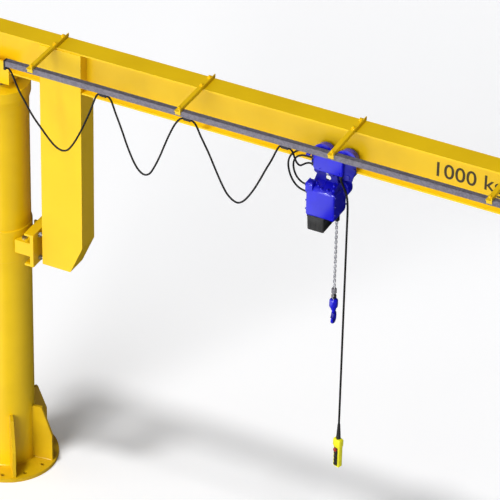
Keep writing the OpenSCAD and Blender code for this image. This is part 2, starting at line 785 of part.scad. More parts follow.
// A flat bar from the drive cover out to the rail, where a tongue through the
// slot and a bar inside the rail pull the towed carrier
module tow_arm() {
    x = cover_x + 62;
    w = 26;
    top = cover_z + cover_h;
    low = clamp_z + 8;
    hanger_t = rail_slot - 5;
    color(blue) translate([x, 0, 0]) rotate([90, 0, 90]) linear_extrude(w)
        polygon([[cover_y + cover_w, top], [cover_y + cover_w, top + 6], [cover_y - 1, top + 6],
                 [12 - rail_y, low + 6], [-12 - rail_y, low + 6], [-12 - rail_y, low],
                 [9 - rail_y, low], [cover_y - 4, top]]);
    color(blue) {
        block([x, -rail_y - hanger_t / 2, low + 1], [x + w, hanger_t / 2 - rail_y, rail_z + 22]);
        block([tow_x + 26 + seat, -rail_y - hanger_t / 2, rail_z + 10],
            [x + 1, hanger_t / 2 - rail_y, rail_z + 22]);
    }
}

module cable_glands() {
    color("dimgray") {
        for (z = power_gland_z)
            bar_x([cover_x - gland_l, power_gland_y, z], gland_d, gland_l);
        bar_x([terminal_x - gland_l, terminal_y, terminal_gland_z], gland_d, gland_l);
        bar_x([hoist_x - gland_l, terminal_y, casing_gland_z], gland_d, gland_l);
        translate([pendant_gland_x, power_gland_y, cover_z - gland_l])
            cylinder(d = gland_d, h = gland_l);
    }
}

module tow_cable() {
    color("black") cable(tow_route, [1, 0, 0], [1, 0, 0]);
}

module inner_cable() {
    color("black") cable(inner_route, [-1, 0, 0], [1, 0, 0]);
}

module outer_cable() {
    color("black") cable(outer_route, [-1, 0, 0], [1, 0, 0]);
}

// ---- Hoist ----

// Outline of the casing in y and z, with its top falling towards the back
function casing_outline(in) = let (w = hoist_w / 2 - in, low = hoist_z + in, top = hoist_top - in)
    [[foot - w, low], [w - foot, low], [w, low + foot], [w, top - hoist_fall - 6],
     [w - 6, top - hoist_fall + 1], [6 - w, top - 1], [-w, top - 8], [-w, low + foot]];

// Casing with bevelled end covers, a terminal box and the suspension lug
module hoist_casing() {
    w = hoist_w / 2;
    color(blue) difference() {
        union() {
            along_x(hoist_x, hoist_x + hoist_l, casing_outline(3));
            along_x(hoist_x + 4, hoist_x + hoist_l - 4, casing_outline(0));
            block([terminal_x, -w, terminal_z],
                [terminal_x + terminal_l, terminal_w - w, terminal_z + terminal_h]);
            slab_y(-lug_t / 2, lug_t / 2,
                [[hanger_x - 112, hoist_top - hoist_fall], [hanger_x + 60, hoist_top - hoist_fall],
                 [hanger_x + 60, hoist_top - 6], [hanger_x + 34, pin_z + 10],
                 [hanger_x + 18, pin_z + 20], [hanger_x - 50, pin_z + 20],
                 [hanger_x - 72, pin_z + 15], [hanger_x - 112, hoist_top - 6]]);
        }
        bar_y([hanger_x, -w, pin_z], pin_d + 2 * fit, 2 * w);
        bar_y([eye_x, -lug_t, eye_z], eye_d, 2 * lug_t);
    }
}

module hoist_motor() {
    y = hoist_w / 2;
    color(blue) {
        bar_y([motor_x, y, motor_z], motor_d - 12, motor_l);
        for (k = [0 : 3]) bar_y([motor_x, y + 6 + 11 * k, motor_z], motor_d, 5);
        bar_y([motor_x, y + motor_l - 16, motor_z], motor_d, 16);
    }
}

module chain_guide() {
    color("dimgray") translate([chain_x, 0, hoist_z - guide_h]) difference() {
        cylinder(r = guide_r, h = guide_h);
        translate([0, 0, -1]) cylinder(r = chain_bore, h = guide_h + 2);
    }
}

module chain_bucket() {
    r = 12;
    color("black") translate([bucket_x + bucket_l / 2, 0, hoist_z - bucket_h]) hull()
        for (x = [-1, 1]) for (y = [-1, 1])
            translate([x * (bucket_l / 2 - r), y * (bucket_w / 2 - r), 0])
                cylinder(r = r, h = bucket_h, $fn = 24);
}

// One link: two half rings joined by two straight wires, standing in the XZ plane
module link() {
    half = (link_w + chain_wire) / 2;
    straight = link_l - link_w;
    for (up = [0, 1]) mirror([0, 0, up]) translate([0, 0, straight / 2]) rotate([90, 0, 0])
        rotate_extrude(angle = 180) translate([half, 0]) circle(d = chain_wire, $fn = 24);
    for (x = [-half, half])
        translate([x, 0, -straight / 2]) cylinder(d = chain_wire, h = straight, $fn = 24);
}

module load_chain() {
    first = chain_top - link_l / 2 - chain_wire;
    color("silver") for (k = [0 : chain_links - 1])
        translate([chain_x, 0, first - k * chain_step]) rotate(45 + 90 * (k % 2)) link();
}

// Block, neck with a thrust washer, and the stopper that the chain ends in
module hook_block() {
    r = block_d / 2;
    bore_z = chain_low - seat;
    color(blue) translate([chain_x, 0, 0]) difference() {
        rotate_extrude() polygon([[0, block_z], [r * 0.7, block_z], [r, block_z + 14],
            [r, block_top - 10], [r - 7, block_top], [11, block_top], [11, block_top + 10],
            [16, block_top + 11], [16, block_top + 27], [11, block_top + 28], [11, stopper_z],
            [stopper_d / 2 - 3, stopper_z], [stopper_d / 2, stopper_z + stopper_h - 4],
            [stopper_d / 2 - 3, stopper_z + stopper_h], [0, stopper_z + stopper_h]]);
        translate([0, 0, bore_z]) cylinder(r = chain_bore, h = stopper_z + stopper_h);
        translate([0, 0, block_z - 1]) cylinder(d = shank_d + 2 * fit, h = 15);
    }
}

module hook() {
    color(blue) translate([chain_x, 0, 0]) rotate(hook_turn) {
        translate([0, 0, bowl_z + bowl_r]) cylinder(d = shank_d, h = block_z + 13.5 - bowl_z - bowl_r);
        translate([0, 0, block_z - 14]) cylinder(d = shank_d + 14, h = 12);
        translate([0, 0, bowl_z]) rotate([90, 0, 0]) rotate([0, 0, 180])
            rotate_extrude(angle = 270) translate([bowl_r, 0]) circle(d = hook_bar, $fn = 32);
        translate([0, 0, bowl_z + bowl_r]) sphere(d = hook_bar, $fn = 32);
        translate([-bowl_r, 0, bowl_z]) sphere(d = hook_bar, $fn = 32);
    }
}

// ---- Pendant control ----

module pendant_cable() {
    color("black") cable(pendant_route, [0, 0, -1], [0, 0, -1]);
}

module pendant_relief() {
    color("black") translate([pendant_x, pendant_y, pendant_z + pendant_h])
        cylinder(d1 = 30, d2 = 16, h = relief_top - pendant_z - pendant_h);
}

module pendant_case() {
    r = 10;
    color(yellow) translate([pendant_x, pendant_y, pendant_z]) rotate(pendant_turn) hull()
        for (x = [-1, 1]) for (y = [-1, 1])
            translate([x * (pendant_w / 2 - r), y * (pendant_t / 2 - r), 0])
                cylinder(r = r, h = pendant_h, $fn = 24);
}

module pendant_buttons() {
    y = -pendant_t / 2;
    translate([pendant_x, pendant_y, pendant_z]) rotate(pendant_turn) {
        color("dimgray") for (k = [0 : 3])
            bar_y([0, y - 7, button_z + button_pitch * k], 24, 7);
        color("red") {
            bar_y([0, y - 10, stop_button_z], 18, 10);
            bar_y([0, y - 20, stop_button_z], 34, 10);
        }
    }
}

base_plate();
gussets();
column();
track_ring();
head_cap();
spindle();
beam();
beam_end_plates();
end_stops();
pivot_housing();
downleg();
carriage_plate();
roller_forks();
roller_pins();
carriage_studs();
roller(-1);  // roller_near
roller(1);  // roller_far
rail_brackets();
festoon_rail();
rail_clamp();
carrier(carrier_1_x);  // carrier_1
carrier(carrier_2_x);  // carrier_2
carrier(tow_x);  // tow_carrier
festoon_loop_1();
festoon_loop_2();
festoon_loop_3();
trolley_sides();
wheel_axles();
wheel(-1, -wheel_pitch / 2);  // wheel_near_left
wheel(-1, wheel_pitch / 2);  // wheel_near_right
wheel(1, -wheel_pitch / 2);  // wheel_far_left
wheel(1, wheel_pitch / 2);  // wheel_far_right
drive_cover();
travel_motor();
hanger_rods();
hanger_yoke();
suspension_pin();
tow_arm();
cable_glands();
tow_cable();
inner_cable();
outer_cable();
hoist_casing();
hoist_motor();
chain_guide();
chain_bucket();
load_chain();
hook_block();
hook();
pendant_cable();
pendant_relief();
pendant_case();
pendant_buttons();
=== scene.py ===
"""Dresses the pillar jib crane: enamel, steel, cables and the detail its solids leave out.

Lengths are in millimetres in the row's frame and turned into metres where a mesh is made;
the stage alone is in metres. The origin is the centre of the base plate's underside, +X
runs along the jib and +Z up the column.
"""

import logging
import math
from collections.abc import Iterable, Mapping, Sequence
from dataclasses import dataclass
from enum import Enum
from typing import Any

import bpy
from mathutils import Matrix, Vector


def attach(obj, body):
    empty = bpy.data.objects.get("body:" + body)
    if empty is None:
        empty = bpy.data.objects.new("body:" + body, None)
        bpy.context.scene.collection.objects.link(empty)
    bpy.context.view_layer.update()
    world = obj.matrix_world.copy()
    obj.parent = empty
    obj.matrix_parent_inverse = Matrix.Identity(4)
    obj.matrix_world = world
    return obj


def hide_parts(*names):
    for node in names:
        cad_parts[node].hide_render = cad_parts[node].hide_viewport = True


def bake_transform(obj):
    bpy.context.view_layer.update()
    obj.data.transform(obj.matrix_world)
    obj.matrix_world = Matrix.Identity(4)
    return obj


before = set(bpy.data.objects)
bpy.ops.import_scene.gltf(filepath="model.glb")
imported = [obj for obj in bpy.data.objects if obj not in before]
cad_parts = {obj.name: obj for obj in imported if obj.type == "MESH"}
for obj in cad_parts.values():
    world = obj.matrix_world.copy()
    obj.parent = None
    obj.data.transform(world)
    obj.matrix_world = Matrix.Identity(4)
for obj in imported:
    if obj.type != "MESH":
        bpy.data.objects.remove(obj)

LOG = logging.getLogger("crane")
Point = tuple[float, float, float]
Flat = tuple[float, float]
Object = bpy.types.Object
Tree = bpy.types.NodeTree
Node = bpy.types.Node
Socket = bpy.types.NodeSocket

SHARP = math.radians(35)  # edges that turn by more than this are rounded
SMOOTH = math.radians(32)  # faces that meet at less than this are shaded as one
RIPPLE = 0.007  # distance between the ripples of a weld, in metres


class Axis(Enum):
    """A direction that a turned or extruded piece runs along."""

    X = (1.0, 0.0, 0.0)
    Y = (0.0, 1.0, 0.0)
    Z = (0.0, 0.0, 1.0)
    BACK = (0.0, -1.0, 0.0)
    LEFT = (-1.0, 0.0, 0.0)

    @property
    def vector(self) -> Vector:
        """The direction as a vector."""
        return Vector(self.value)


# ---------------------------------------------------------------- finishes


def linear(code: str) -> tuple[float, float, float, float]:
    """Turns an sRGB hex value into a linear colour.

    Args:
        code: six hex digits after a hash.

    Returns:
        Linear red, green, blue and an alpha of 1.
    """
    parts = [int(code[i : i + 2], 16) / 255 for i in (1, 3, 5)]
    made = [c / 12.92 if c <= 0.04045 else ((c + 0.055) / 1.055) ** 2.4 for c in parts]
    return (made[0], made[1], made[2], 1.0)


def add_node(
    tree: Tree,
    kind: str,
    settings: Mapping[str | int, Any] | None = None,
    links: Mapping[str | int, Socket] | None = None,
) -> Node:
    """Adds a shader node, sets its values and links its inputs.

    Args:
        tree: the material's node tree.
        kind: the node's type without its ShaderNode prefix.
        settings: input values by name or number, and attributes by name.
        links: the output that feeds each input, by the input's name or number.

    Returns:
        The new node.
    """
    made = tree.nodes.new(f"ShaderNode{kind}")
    for key, value in (settings or {}).items():
        if isinstance(key, int) or key in made.inputs:
            made.inputs[key].default_value = value
        else:
            setattr(made, key, value)
    for key, socket in (links or {}).items():
        tree.links.new(socket, made.inputs[key])
    return made


@dataclass
class Surface:
    """A material's tree and shader, and the patterns laid on them, which run from 0 to 1."""

    tree: Tree
    shader: Node
    where: Socket  # the piece's own coordinates, in metres

    def cloud(
        self, scale: float, detail: float, roughness: float = 0.5, where: Socket | None = None
    ) -> Socket:
        """A soft random pattern.

        Args:
            scale: how many patches it has to a metre.
            detail: how many finer layers lie on top of them.
            roughness: how strong the finer layers are.
            where: other coordinates it lies on.

        Returns:
            The pattern's output.
        """
        settings = {"Scale": scale, "Detail": detail, "Roughness": roughness}
        place = {"Vector": self.where if where is None else where}
        return add_node(self.tree, "TexNoise", settings, place).outputs["Fac"]

    def tint(self, factor: Socket, stops: Sequence[tuple[float, str]]) -> Socket:
        """Lets the colour follow a pattern.

        Args:
            factor: the pattern.
            stops: the two tones, each with its place in the pattern and its hex colour.

        Returns:
            The colour's output.
        """
        ramp = add_node(self.tree, "ValToRGB", links={"Fac": factor})
        for stop, (place, code) in zip(ramp.color_ramp.elements, stops):
            stop.position = place
            stop.color = linear(code)
        self.tree.links.new(ramp.outputs["Color"], self.shader.inputs["Base Color"])
        return ramp.outputs["Color"]

    def roughen(self, factor: Socket, low: float, high: float) -> None:
        """Lets the roughness follow a pattern, from low to high."""
        made = add_node(self.tree, "MapRange", {"To Min": low, "To Max": high}, {"Value": factor})
        self.tree.links.new(made.outputs["Result"], self.shader.inputs["Roughness"])

    def relief(self, height: Socket, strength: float, depth: float) -> None:
        """Feeds a height pattern to the shader's normal.

        Args:
            height: the pattern.
            strength: the share of its slope that shows.
            depth: its real depth in metres.
        """
        size = {"Strength": strength, "Distance": depth}
        bump = add_node(self.tree, "Bump", size, {"Height": height})
        self.tree.links.new(bump.outputs["Normal"], self.shader.inputs["Normal"])


@dataclass(frozen=True)
class Finish:
    """A surface finish: what it is, its colour and how it takes light."""

    name: str
    colour: str
    slot: str
    roughness: float

    def material(self) -> bpy.types.Material:
        """Makes the finish's material, once.

        Returns:
            The material.
        """
        found = bpy.data.materials.get(self.name)
        if found:
            return found
        made = bpy.data.materials.new(self.name)
        made.use_nodes = True
        made.diffuse_color = linear(self.colour)
        tree = made.node_tree
        shader = tree.nodes["Principled BSDF"]
        shader.inputs["Base Color"].default_value = linear(self.colour)
        shader.inputs["Roughness"].default_value = self.roughness
        self.dress(Surface(tree, shader, add_node(tree, "TexCoord").outputs["Object"]))
        return made

    def dress(self, on: Surface) -> None:
        """Adds the finish's own pattern, which each kind of finish replaces."""


@dataclass(frozen=True)
class Enamel(Finish):
    """Two-pack gloss enamel sprayed on primed steel: deep even colour, soft reflections,
    orange peel, and a thinner, darker coat where the gun passed fast."""

    thin: str = "#000000"
    dust: str = "#000000"
    patch_mm: float = 420.0  # breadth of one pass of the spray gun
    peel_mm: float = 9.0  # real orange peel is 1.5 mm, too fine to show
    coat: float = 0.35

    def dress(self, on: Surface) -> None:
        """Adds gun passes, dust on the upward faces and orange peel."""
        passes = on.cloud(1000 / self.patch_mm, 3.0, 0.55)
        body = on.tint(passes, [(0.36, self.thin), (0.58, self.colour)])
        upright = add_node(on.tree, "Mapping", {"Scale": (9.0, 9.0, 0.9)}, {"Vector": on.where})
        streaks = on.cloud(3.0, 4.0, where=upright.outputs["Vector"])
        normal = add_node(on.tree, "NewGeometry").outputs["Normal"]
        up = add_node(on.tree, "SeparateXYZ", links={0: normal}).outputs["Z"]
        span = {"From Min": 0.55, "To Max": 0.28, "clamp": True}
        lying = add_node(on.tree, "MapRange", span, {"Value": up}).outputs["Result"]
        settled = add_node(on.tree, "Math", {"operation": "MULTIPLY"}, {0: lying, 1: streaks})
        dust = {"data_type": "RGBA", 7: linear(self.dust)}
        dusty = add_node(on.tree, "Mix", dust, {0: settled.outputs["Value"], 6: body})
        on.tree.links.new(dusty.outputs[2], on.shader.inputs["Base Color"])
        on.roughen(streaks, self.roughness - 0.05, self.roughness + 0.1)
        on.shader.inputs["Coat Weight"].default_value = self.coat
        on.shader.inputs["Coat Roughness"].default_value = 0.16
        on.relief(on.cloud(1000 / self.peel_mm, 1.0), 0.12, 0.0006)


@dataclass(frozen=True)
class Steel(Finish):
    """Bare or zinc plated steel: metallic, drawn or turned, with fine scratches along
    the way it was worked and small dull spots."""

    worn: str = "#6a6a6c"
    metal: float = 1.0
    grain: Point = (8.0, 8.0, 60.0)  # stretches the scratches across each axis
    scratch_mm: float = 5.0  # real scratches are under 1 mm, too fine to show
    spot_mm: float = 22.0

    def dress(self, on: Surface) -> None:
        """Adds scratches and dull spots."""
        drawn = add_node(on.tree, "Mapping", {"Scale": self.grain}, {"Vector": on.where})
        scratches = on.cloud(60 / self.scratch_mm, 5.0, where=drawn.outputs["Vector"])
        spots = on.cloud(1000 / self.spot_mm, 2.0)
        on.tint(spots, [(0.38, self.worn), (0.6, self.colour)])
        on.shader.inputs["Metallic"].default_value = self.metal
        on.roughen(scratches, self.roughness - 0.08, self.roughness + 0.14)
        on.relief(scratches, 0.1, 0.0003)


@dataclass(frozen=True)
class Galvanised(Finish):
    """Hot-dip galvanised strip: grey zinc with a faint spangle, each crystal a little
    lighter or darker, dulled by weather."""

    dark: str = "#6f6b75"
    metal: float = 0.55
    spangle_mm: float = 14.0

    def dress(self, on: Surface) -> None:
        """Adds the zinc's spangle."""
        size = {"Scale": 1000 / self.spangle_mm}
        crystals = add_node(on.tree, "TexVoronoi", size, {"Vector": on.where}).outputs
        tone = add_node(on.tree, "SeparateColor", links={0: crystals["Color"]}).outputs[0]
        on.tint(tone, [(0.2, self.dark), (0.8, self.colour)])
        on.shader.inputs["Metallic"].default_value = self.metal
        on.roughen(tone, self.roughness - 0.07, self.roughness + 0.1)
        on.relief(crystals["Distance"], 0.08, 0.0004)


@dataclass(frozen=True)
class Moulded(Finish):
    """Moulded plastic: one colour all through, a fine sparked texture from the tool and
    a slight bloom where hands rub it."""

    rubbed: str = "#2a2a2c"
    texture_mm: float = 2.5

    def dress(self, on: Surface) -> None:
        """Adds the tool's texture and the bloom."""
        bloom = on.cloud(14.0, 3.0)
        on.tint(bloom, [(0.42, self.colour), (0.68, self.rubbed)])
        on.roughen(bloom, self.roughness - 0.06, self.roughness + 0.1)
        on.relief(on.cloud(1000 / self.texture_mm, 1.0), 0.25, 0.0003)


@dataclass(frozen=True)
class Jacket(Finish):
    """Neoprene cable jacket: matt black, extruded, with the lay of the cores just
    showing under it and pale dust on it."""

    dusty: str = "#35322f"
    lay_mm: float = 40.0

    def dress(self, on: Surface) -> None:
        """Adds the cores' lay and the dust."""
        on.tint(on.cloud(9.0, 4.0), [(0.45, self.colour), (0.75, self.dusty)])
        bands = {"Scale": 500 / self.lay_mm, "Distortion": 0.6, "bands_direction": "DIAGONAL"}
        lay = add_node(on.tree, "TexWave", bands, {"Vector": on.where})
        on.relief(lay.outputs["Fac"], 0.2, 0.0005)


# The column and the jib: bright yellow, glossy, greyer only where dust lies on top.
YELLOW = Enamel(
    "enamel_yellow", "#f2c806", "yellow_paint", 0.3, thin="#eac005", dust="#e6ba0c", coat=0.15
)
# The foot: the same yellow painted darker, as painted shade for the shadow that the beam, column
# and gussets cast on the base.
FOOT_SHADED = Enamel(
    "enamel_yellow_foot_shaded", "#d9b104", "yellow_paint", 0.36,
    thin="#cfa604", dust="#bd9a0c", patch_mm=260.0, coat=0.1,
)
# Pressed covers and the hoist's shell: deep blue under a clear coat, which mirrors softly.
BLUE = Enamel(
    "enamel_blue", "#0a08d2", "blue_paint", 0.3,
    thin="#0705c6", dust="#0907b8", patch_mm=120.0, coat=1.0,
)
# Castings and plates: the same blue on a rough skin, nearly matt, and painted darker as painted
# shade for the shadow under the drive cover and the beam.
SHADED_BLUE = Enamel(
    "enamel_blue_cast_shaded", "#080696", "blue_paint", 0.42,
    thin="#060484", dust="#07058e", patch_mm=90.0, coat=0.1,
)
# The hoist's cast roof: full blue, nearly matt.
ROOF = Enamel(
    "enamel_blue_roof", "#0a08c8", "blue_paint", 0.4,
    thin="#0806bc", dust="#0705a8", patch_mm=70.0, coat=0.1,
)
# Turned steel, bright, with its tool marks.
TURNED = Steel("steel_turned", "#c9c9cc", "steel", 0.3, worn="#a2a2a6")
# Zinc plated rods and screws: pale, a little cloudy.
ZINC = Steel("steel_zinc_plated", "#c4c6ca", "steel", 0.34, worn="#8f9196", grain=(9.0, 9.0, 9.0))
# Oiled hoist chain: light grey, with a half-metallic film on it.
CHAIN = Steel(
    "steel_chain", "#d2d3d8", "steel", 0.38,
    worn="#a9aab2", metal=0.45, grain=(9.0, 9.0, 9.0), spot_mm=12.0,
)
# Hardened rollers, darkened by heat.
HARDENED = Steel("steel_hardened", "#8c8c8f", "steel", 0.4, worn="#5c5c5f")
# The festoon rail: mid grey zinc, dull.
STRIP = Galvanised(
    "strip_galvanised", "#8a8690", "galvanised", 0.5, dark="#75717c", spangle_mm=9.0
)
# Carriers, glands and keys: black, satin.
NYLON = Moulded("nylon_black", "#161617", "black_plastic", 0.5)
# The chain bucket: soft charcoal, scuffed lighter.
BUCKET = Moulded("polythene_bucket", "#242424", "black_plastic", 0.55, rubbed="#3a3a3a")
# Cable jackets: matt black.
CABLE = Jacket("neoprene_jacket", "#070609", "cable_rubber", 0.75, dusty="#131112")
# The pendant's case: light, clear yellow.
ABS_YELLOW = Moulded("abs_yellow", "#f3ec1f", "yellow_plastic", 0.4, rubbed="#ddd61a")
# The stop button: dark red.
ABS_RED = Moulded("abs_red", "#b0302c", "black_plastic", 0.4, rubbed="#962724")
# The chain's stopper: worn grey rubber.
STOPPER = Moulded("rubber_grey", "#77757c", "black_plastic", 0.55, rubbed="#5a585e")
# The pendant's boot: black rubber, matt.
BOOT = Moulded("rubber_boot", "#1d1c1b", "black_plastic", 0.6)
# The load figures: thin black paint through which the yellow warms.
SIGN = Moulded("sign_paint_black", "#3d3420", "yellow_paint", 0.55, rubbed="#463b22")


# ---------------------------------------------------------------- modelling


def mm(*values: float) -> tuple[float, ...]:
    """Lengths given in millimetres, in metres."""
    return tuple(v / 1000 for v in values)


def clear() -> None:
    """Leaves nothing selected and no object in edit mode."""
    if bpy.context.object and bpy.context.object.mode != "OBJECT":
        bpy.ops.object.mode_set(mode="OBJECT")
    bpy.ops.object.select_all(action="DESELECT")


def pick(pieces: Iterable[Object]) -> None:
    """Selects only these pieces and makes the last one active."""
    clear()
    for piece in pieces:
        piece.select_set(True)
        bpy.context.view_layer.objects.active = piece


def enter(name: str, data: bpy.types.ID) -> Object:
    """Puts new data into the scene as an object."""
    made = bpy.data.objects.new(name, data)
    bpy.context.scene.collection.objects.link(made)
    return made


def bake_place(piece: Object) -> Object:
    """Moves a piece's place, turn and scale into its mesh."""
    pick([piece])
    bpy.ops.object.transform_apply(location=True, rotation=True, scale=True)
    return piece


def round_edges(piece: Object, width: float, segments: int = 2) -> Object:
    """Bevels the sharp edges of a piece.

    Args:
        piece: the piece.
        width: the bevel's width.
        segments: how many faces round each edge.

    Returns:
        The same piece.
    """
    if width > 0:
        pick([piece])
        bevel = piece.modifiers.new("edges", "BEVEL")
        bevel.width = width / 1000
        bevel.segments = segments
        bevel.limit_method = "ANGLE"
        bevel.angle_limit = SHARP
        bevel.use_clamp_overlap = True
        bpy.ops.object.modifier_apply(modifier="edges")
    return piece


def block(low: Point, high: Point, edge: float = 0.0, segments: int = 2) -> Object:
    """A block between two corners, its edges rounded.

    Args:
        low: the lowest corner.
        high: the highest corner.
        edge: the edges' radius.
        segments: how many faces round each edge.

    Returns:
        The block.
    """
    clear()
    a, b = Vector(mm(*low)), Vector(mm(*high))
    bpy.ops.mesh.primitive_cube_add(size=1, location=(a + b) / 2)
    made = bpy.context.object
    made.scale = b - a
    return round_edges(bake_place(made), edge, segments)


def turned(
    stations: Sequence[Flat], base: Point, axis: Axis = Axis.Z, sides: int = 40
) -> Object:
    """A turned piece: a disc extruded from station to station along its axis.

    Args:
        stations: height along the axis and radius at each step.
        base: where height 0 is.
        axis: the direction of the axis.
        sides: how many faces go round it.

    Returns:
        The piece.
    """
    clear()
    height, radius = mm(*stations[0])
    bpy.ops.mesh.primitive_circle_add(
        vertices=sides, radius=radius, fill_type="NGON", location=(0.0, 0.0, height)
    )
    made = bake_place(bpy.context.object)
    bpy.ops.object.mode_set(mode="EDIT")
    bpy.ops.mesh.select_all(action="SELECT")
    least = 1e-5  # a point still has a radius, so that the next step can widen it
    for station in stations[1:]:
        above, wider = mm(*station)
        step = {"value": (0, 0, above - height)}
        bpy.ops.mesh.extrude_region_move(TRANSFORM_OT_translate=step)
        share = max(wider, least) / max(radius, least)
        bpy.ops.transform.resize(value=(share, share, 1.0), center_override=(0.0, 0.0, above))
        height, radius = above, wider
    bpy.ops.mesh.select_all(action="SELECT")
    bpy.ops.mesh.remove_doubles(threshold=1e-6)
    bpy.ops.mesh.normals_make_consistent(inside=False)
    bpy.ops.object.mode_set(mode="OBJECT")
    turn = Axis.Z.vector.rotation_difference(axis.vector).to_matrix().to_4x4()
    made.matrix_world = Matrix.Translation(mm(*base)) @ turn
    return bake_place(made)


def plate(
    outline: Sequence[Flat],
    axis: Axis,
    low: float,
    high: float,
    edge: float = 0.0,
    segments: int = 2,
) -> Object:
    """A plate of any outline, drawn out along an axis.

    Args:
        outline: the corners: y and z for a plate along X, x and z along Y.
        axis: the direction it is drawn out.
        low: where it starts along the axis.
        high: where it ends.
        edge: its edges' radius.
        segments: how many faces round each edge.

    Returns:
        The plate.
    """
    clear()
    bpy.ops.mesh.primitive_circle_add(vertices=len(outline), radius=1.0, fill_type="NGON")
    made = bpy.context.object
    start, end = mm(low, high)
    for vertex, corner in zip(made.data.vertices, outline):
        u, v = mm(*corner)
        vertex.co = (start, u, v) if axis is Axis.X else (u, start, v)
    bpy.ops.object.mode_set(mode="EDIT")
    bpy.ops.mesh.select_all(action="SELECT")
    step = {"value": axis.vector * (end - start)}
    bpy.ops.mesh.extrude_region_move(TRANSFORM_OT_translate=step)
    bpy.ops.mesh.select_all(action="SELECT")
    bpy.ops.mesh.normals_make_consistent(inside=False)
    bpy.ops.object.mode_set(mode="OBJECT")
    return round_edges(made, edge, segments)


def sweep(
    name: str,
    points: Sequence[Sequence[float]],
    radii: Sequence[float],
    resolution: int,
    closed: bool = False,
) -> Object:
    """A round bar along a line, with its own radius at each point.

    Args:
        name: its name.
        points: the line's points, in metres.
        radii: the bar's radius at each, in metres.
        resolution: a quarter of the faces round it, less one.
        closed: whether the line runs back to its start.

    Returns:
        The bar.
    """
    curve = bpy.data.curves.new(name, "CURVE")
    curve.dimensions = "3D"
    curve.bevel_depth = 1.0
    curve.bevel_resolution = resolution
    curve.use_fill_caps = not closed
    line = curve.splines.new("POLY")
    line.points.add(len(points) - 1)
    line.use_cyclic_u = closed
    for point, place, radius in zip(line.points, points, radii):
        point.co = (*place, 1.0)
        point.radius = radius
    pick([enter(name, curve)])
    bpy.ops.object.convert(target="MESH")
    return bpy.context.object


def join(pieces: Sequence[Object]) -> Object:
    """Joins pieces into the last of them."""
    pick(pieces)
    if len(pieces) > 1:
        bpy.ops.object.join()
    return bpy.context.object


def copies(piece: Object, moves: Sequence[Matrix]) -> Object:
    """Copies a piece to several places, each with its own mesh, and joins them.

    Args:
        piece: the piece, which becomes the first copy.
        moves: where each copy goes from the piece's own place.

    Returns:
        The joined copies.
    """
    made = [piece]
    for move in moves[1:]:
        pick([piece])
        bpy.ops.object.duplicate(linked=False)
        bpy.context.object.matrix_world = move
        made.append(bake_place(bpy.context.object))
    piece.matrix_world = moves[0]
    bake_place(piece)
    return join(made[::-1])


def placed(x: float = 0.0, y: float = 0.0, z: float = 0.0, turn: float = 0.0) -> Matrix:
    """A turn in degrees about the upright axis, then a move."""
    return Matrix.Translation(mm(x, y, z)) @ Matrix.Rotation(math.radians(turn), 4, "Z")


def paint(piece: Object, finish: Finish) -> Object:
    """Gives a piece one finish."""
    piece.data.materials.clear()
    piece.data.materials.append(finish.material())
    return piece


def settle(piece: Object, name: str, body: str, finish: Finish, *stands_for: str) -> Object:
    """Names a finished piece, paints it and hangs it on its body.

    Args:
        piece: the piece, in place.
        name: its name.
        body: the moving body that carries it.
        finish: what it is painted with, where it has no finish yet.
        *stands_for: the solids it takes the place of.

    Returns:
        The same piece.
    """
    bake_place(piece)
    bpy.ops.object.shade_smooth_by_angle(angle=SMOOTH)
    piece.name = name
    piece.data.name = name
    if not piece.data.materials:
        piece.data.materials.append(finish.material())
    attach(piece, body)
    if stands_for:
        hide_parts(*stands_for)
    LOG.info("%s rides on %s", name, body)
    return piece


def keep(nodes: Iterable[str], finish: Finish) -> None:
    """Paints solids that are shown as they are.

    Args:
        nodes: the solids' names.
        finish: the finish they get.
    """
    for name in nodes:
        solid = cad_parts[name]
        paint(solid, finish)
        LOG.info("%s keeps its solid", name)


# ---------------------------------------------------------------- small parts


def hexagon(base: Point, axis: Axis, across: float, height: float) -> Object:
    """A hexagon nut or bolt head with its corners turned off."""
    r = across / 2 / math.cos(math.pi / 6)
    stations = [(0, r * 0.93), (height * 0.12, r), (height * 0.85, r), (height, r * 0.88)]
    return turned(stations, base, axis, 6)


def bolt(base: Point, axis: Axis, size: float, tip: float = 0.0) -> Object:
    """A bolt head or nut on its washer.

    Args:
        base: where the washer lies.
        axis: the way the head points.
        size: the thread's diameter.
        tip: how far the thread stands out of the nut.

    Returns:
        The fastener.
    """
    washer, head = size * 0.15, size * 0.75
    seat = tuple(Vector(base) + axis.vector * washer)
    parts = [
        turned([(0, size), (washer * 0.7, size), (washer, size * 0.94)], base, axis, 20),
        hexagon(seat, axis, size * 1.5, head),
    ]
    if tip > 0:
        thread = [(0, size / 2), (head + tip, size / 2), (size * 0.8 + tip, size * 0.4)]
        parts.append(turned(thread, seat, axis, 16))
    return join(parts)


def socket_screw(base: Point, axis: Axis, size: float) -> Object:
    """The head of a socket screw, with its recess."""
    r = size * 0.75
    stations = [(-size * 0.2, r * 0.98), (size * 0.8, r * 0.98), (size, r * 0.86),
                (size, r * 0.52), (size * 0.4, r * 0.48), (size * 0.35, 0)]
    return turned(stations, base, axis, 16)


def bore(piece: Object, base: Point, axis: Axis, radius: float, length: float) -> Object:
    """Drills a round hole through a piece.

    Args:
        piece: the piece.
        base: where the hole starts.
        axis: the way it runs.
        radius: its radius.
        length: its length.

    Returns:
        The same piece.
    """
    drill = turned([(0, radius), (length, radius)], base, axis, 32)
    pick([piece])
    cut = piece.modifiers.new("hole", "BOOLEAN")
    cut.operation = "DIFFERENCE"
    cut.solver = "EXACT"
    cut.object = drill
    bpy.ops.object.modifier_apply(modifier="hole")
    pick([drill])
    bpy.ops.object.delete()
    return piece


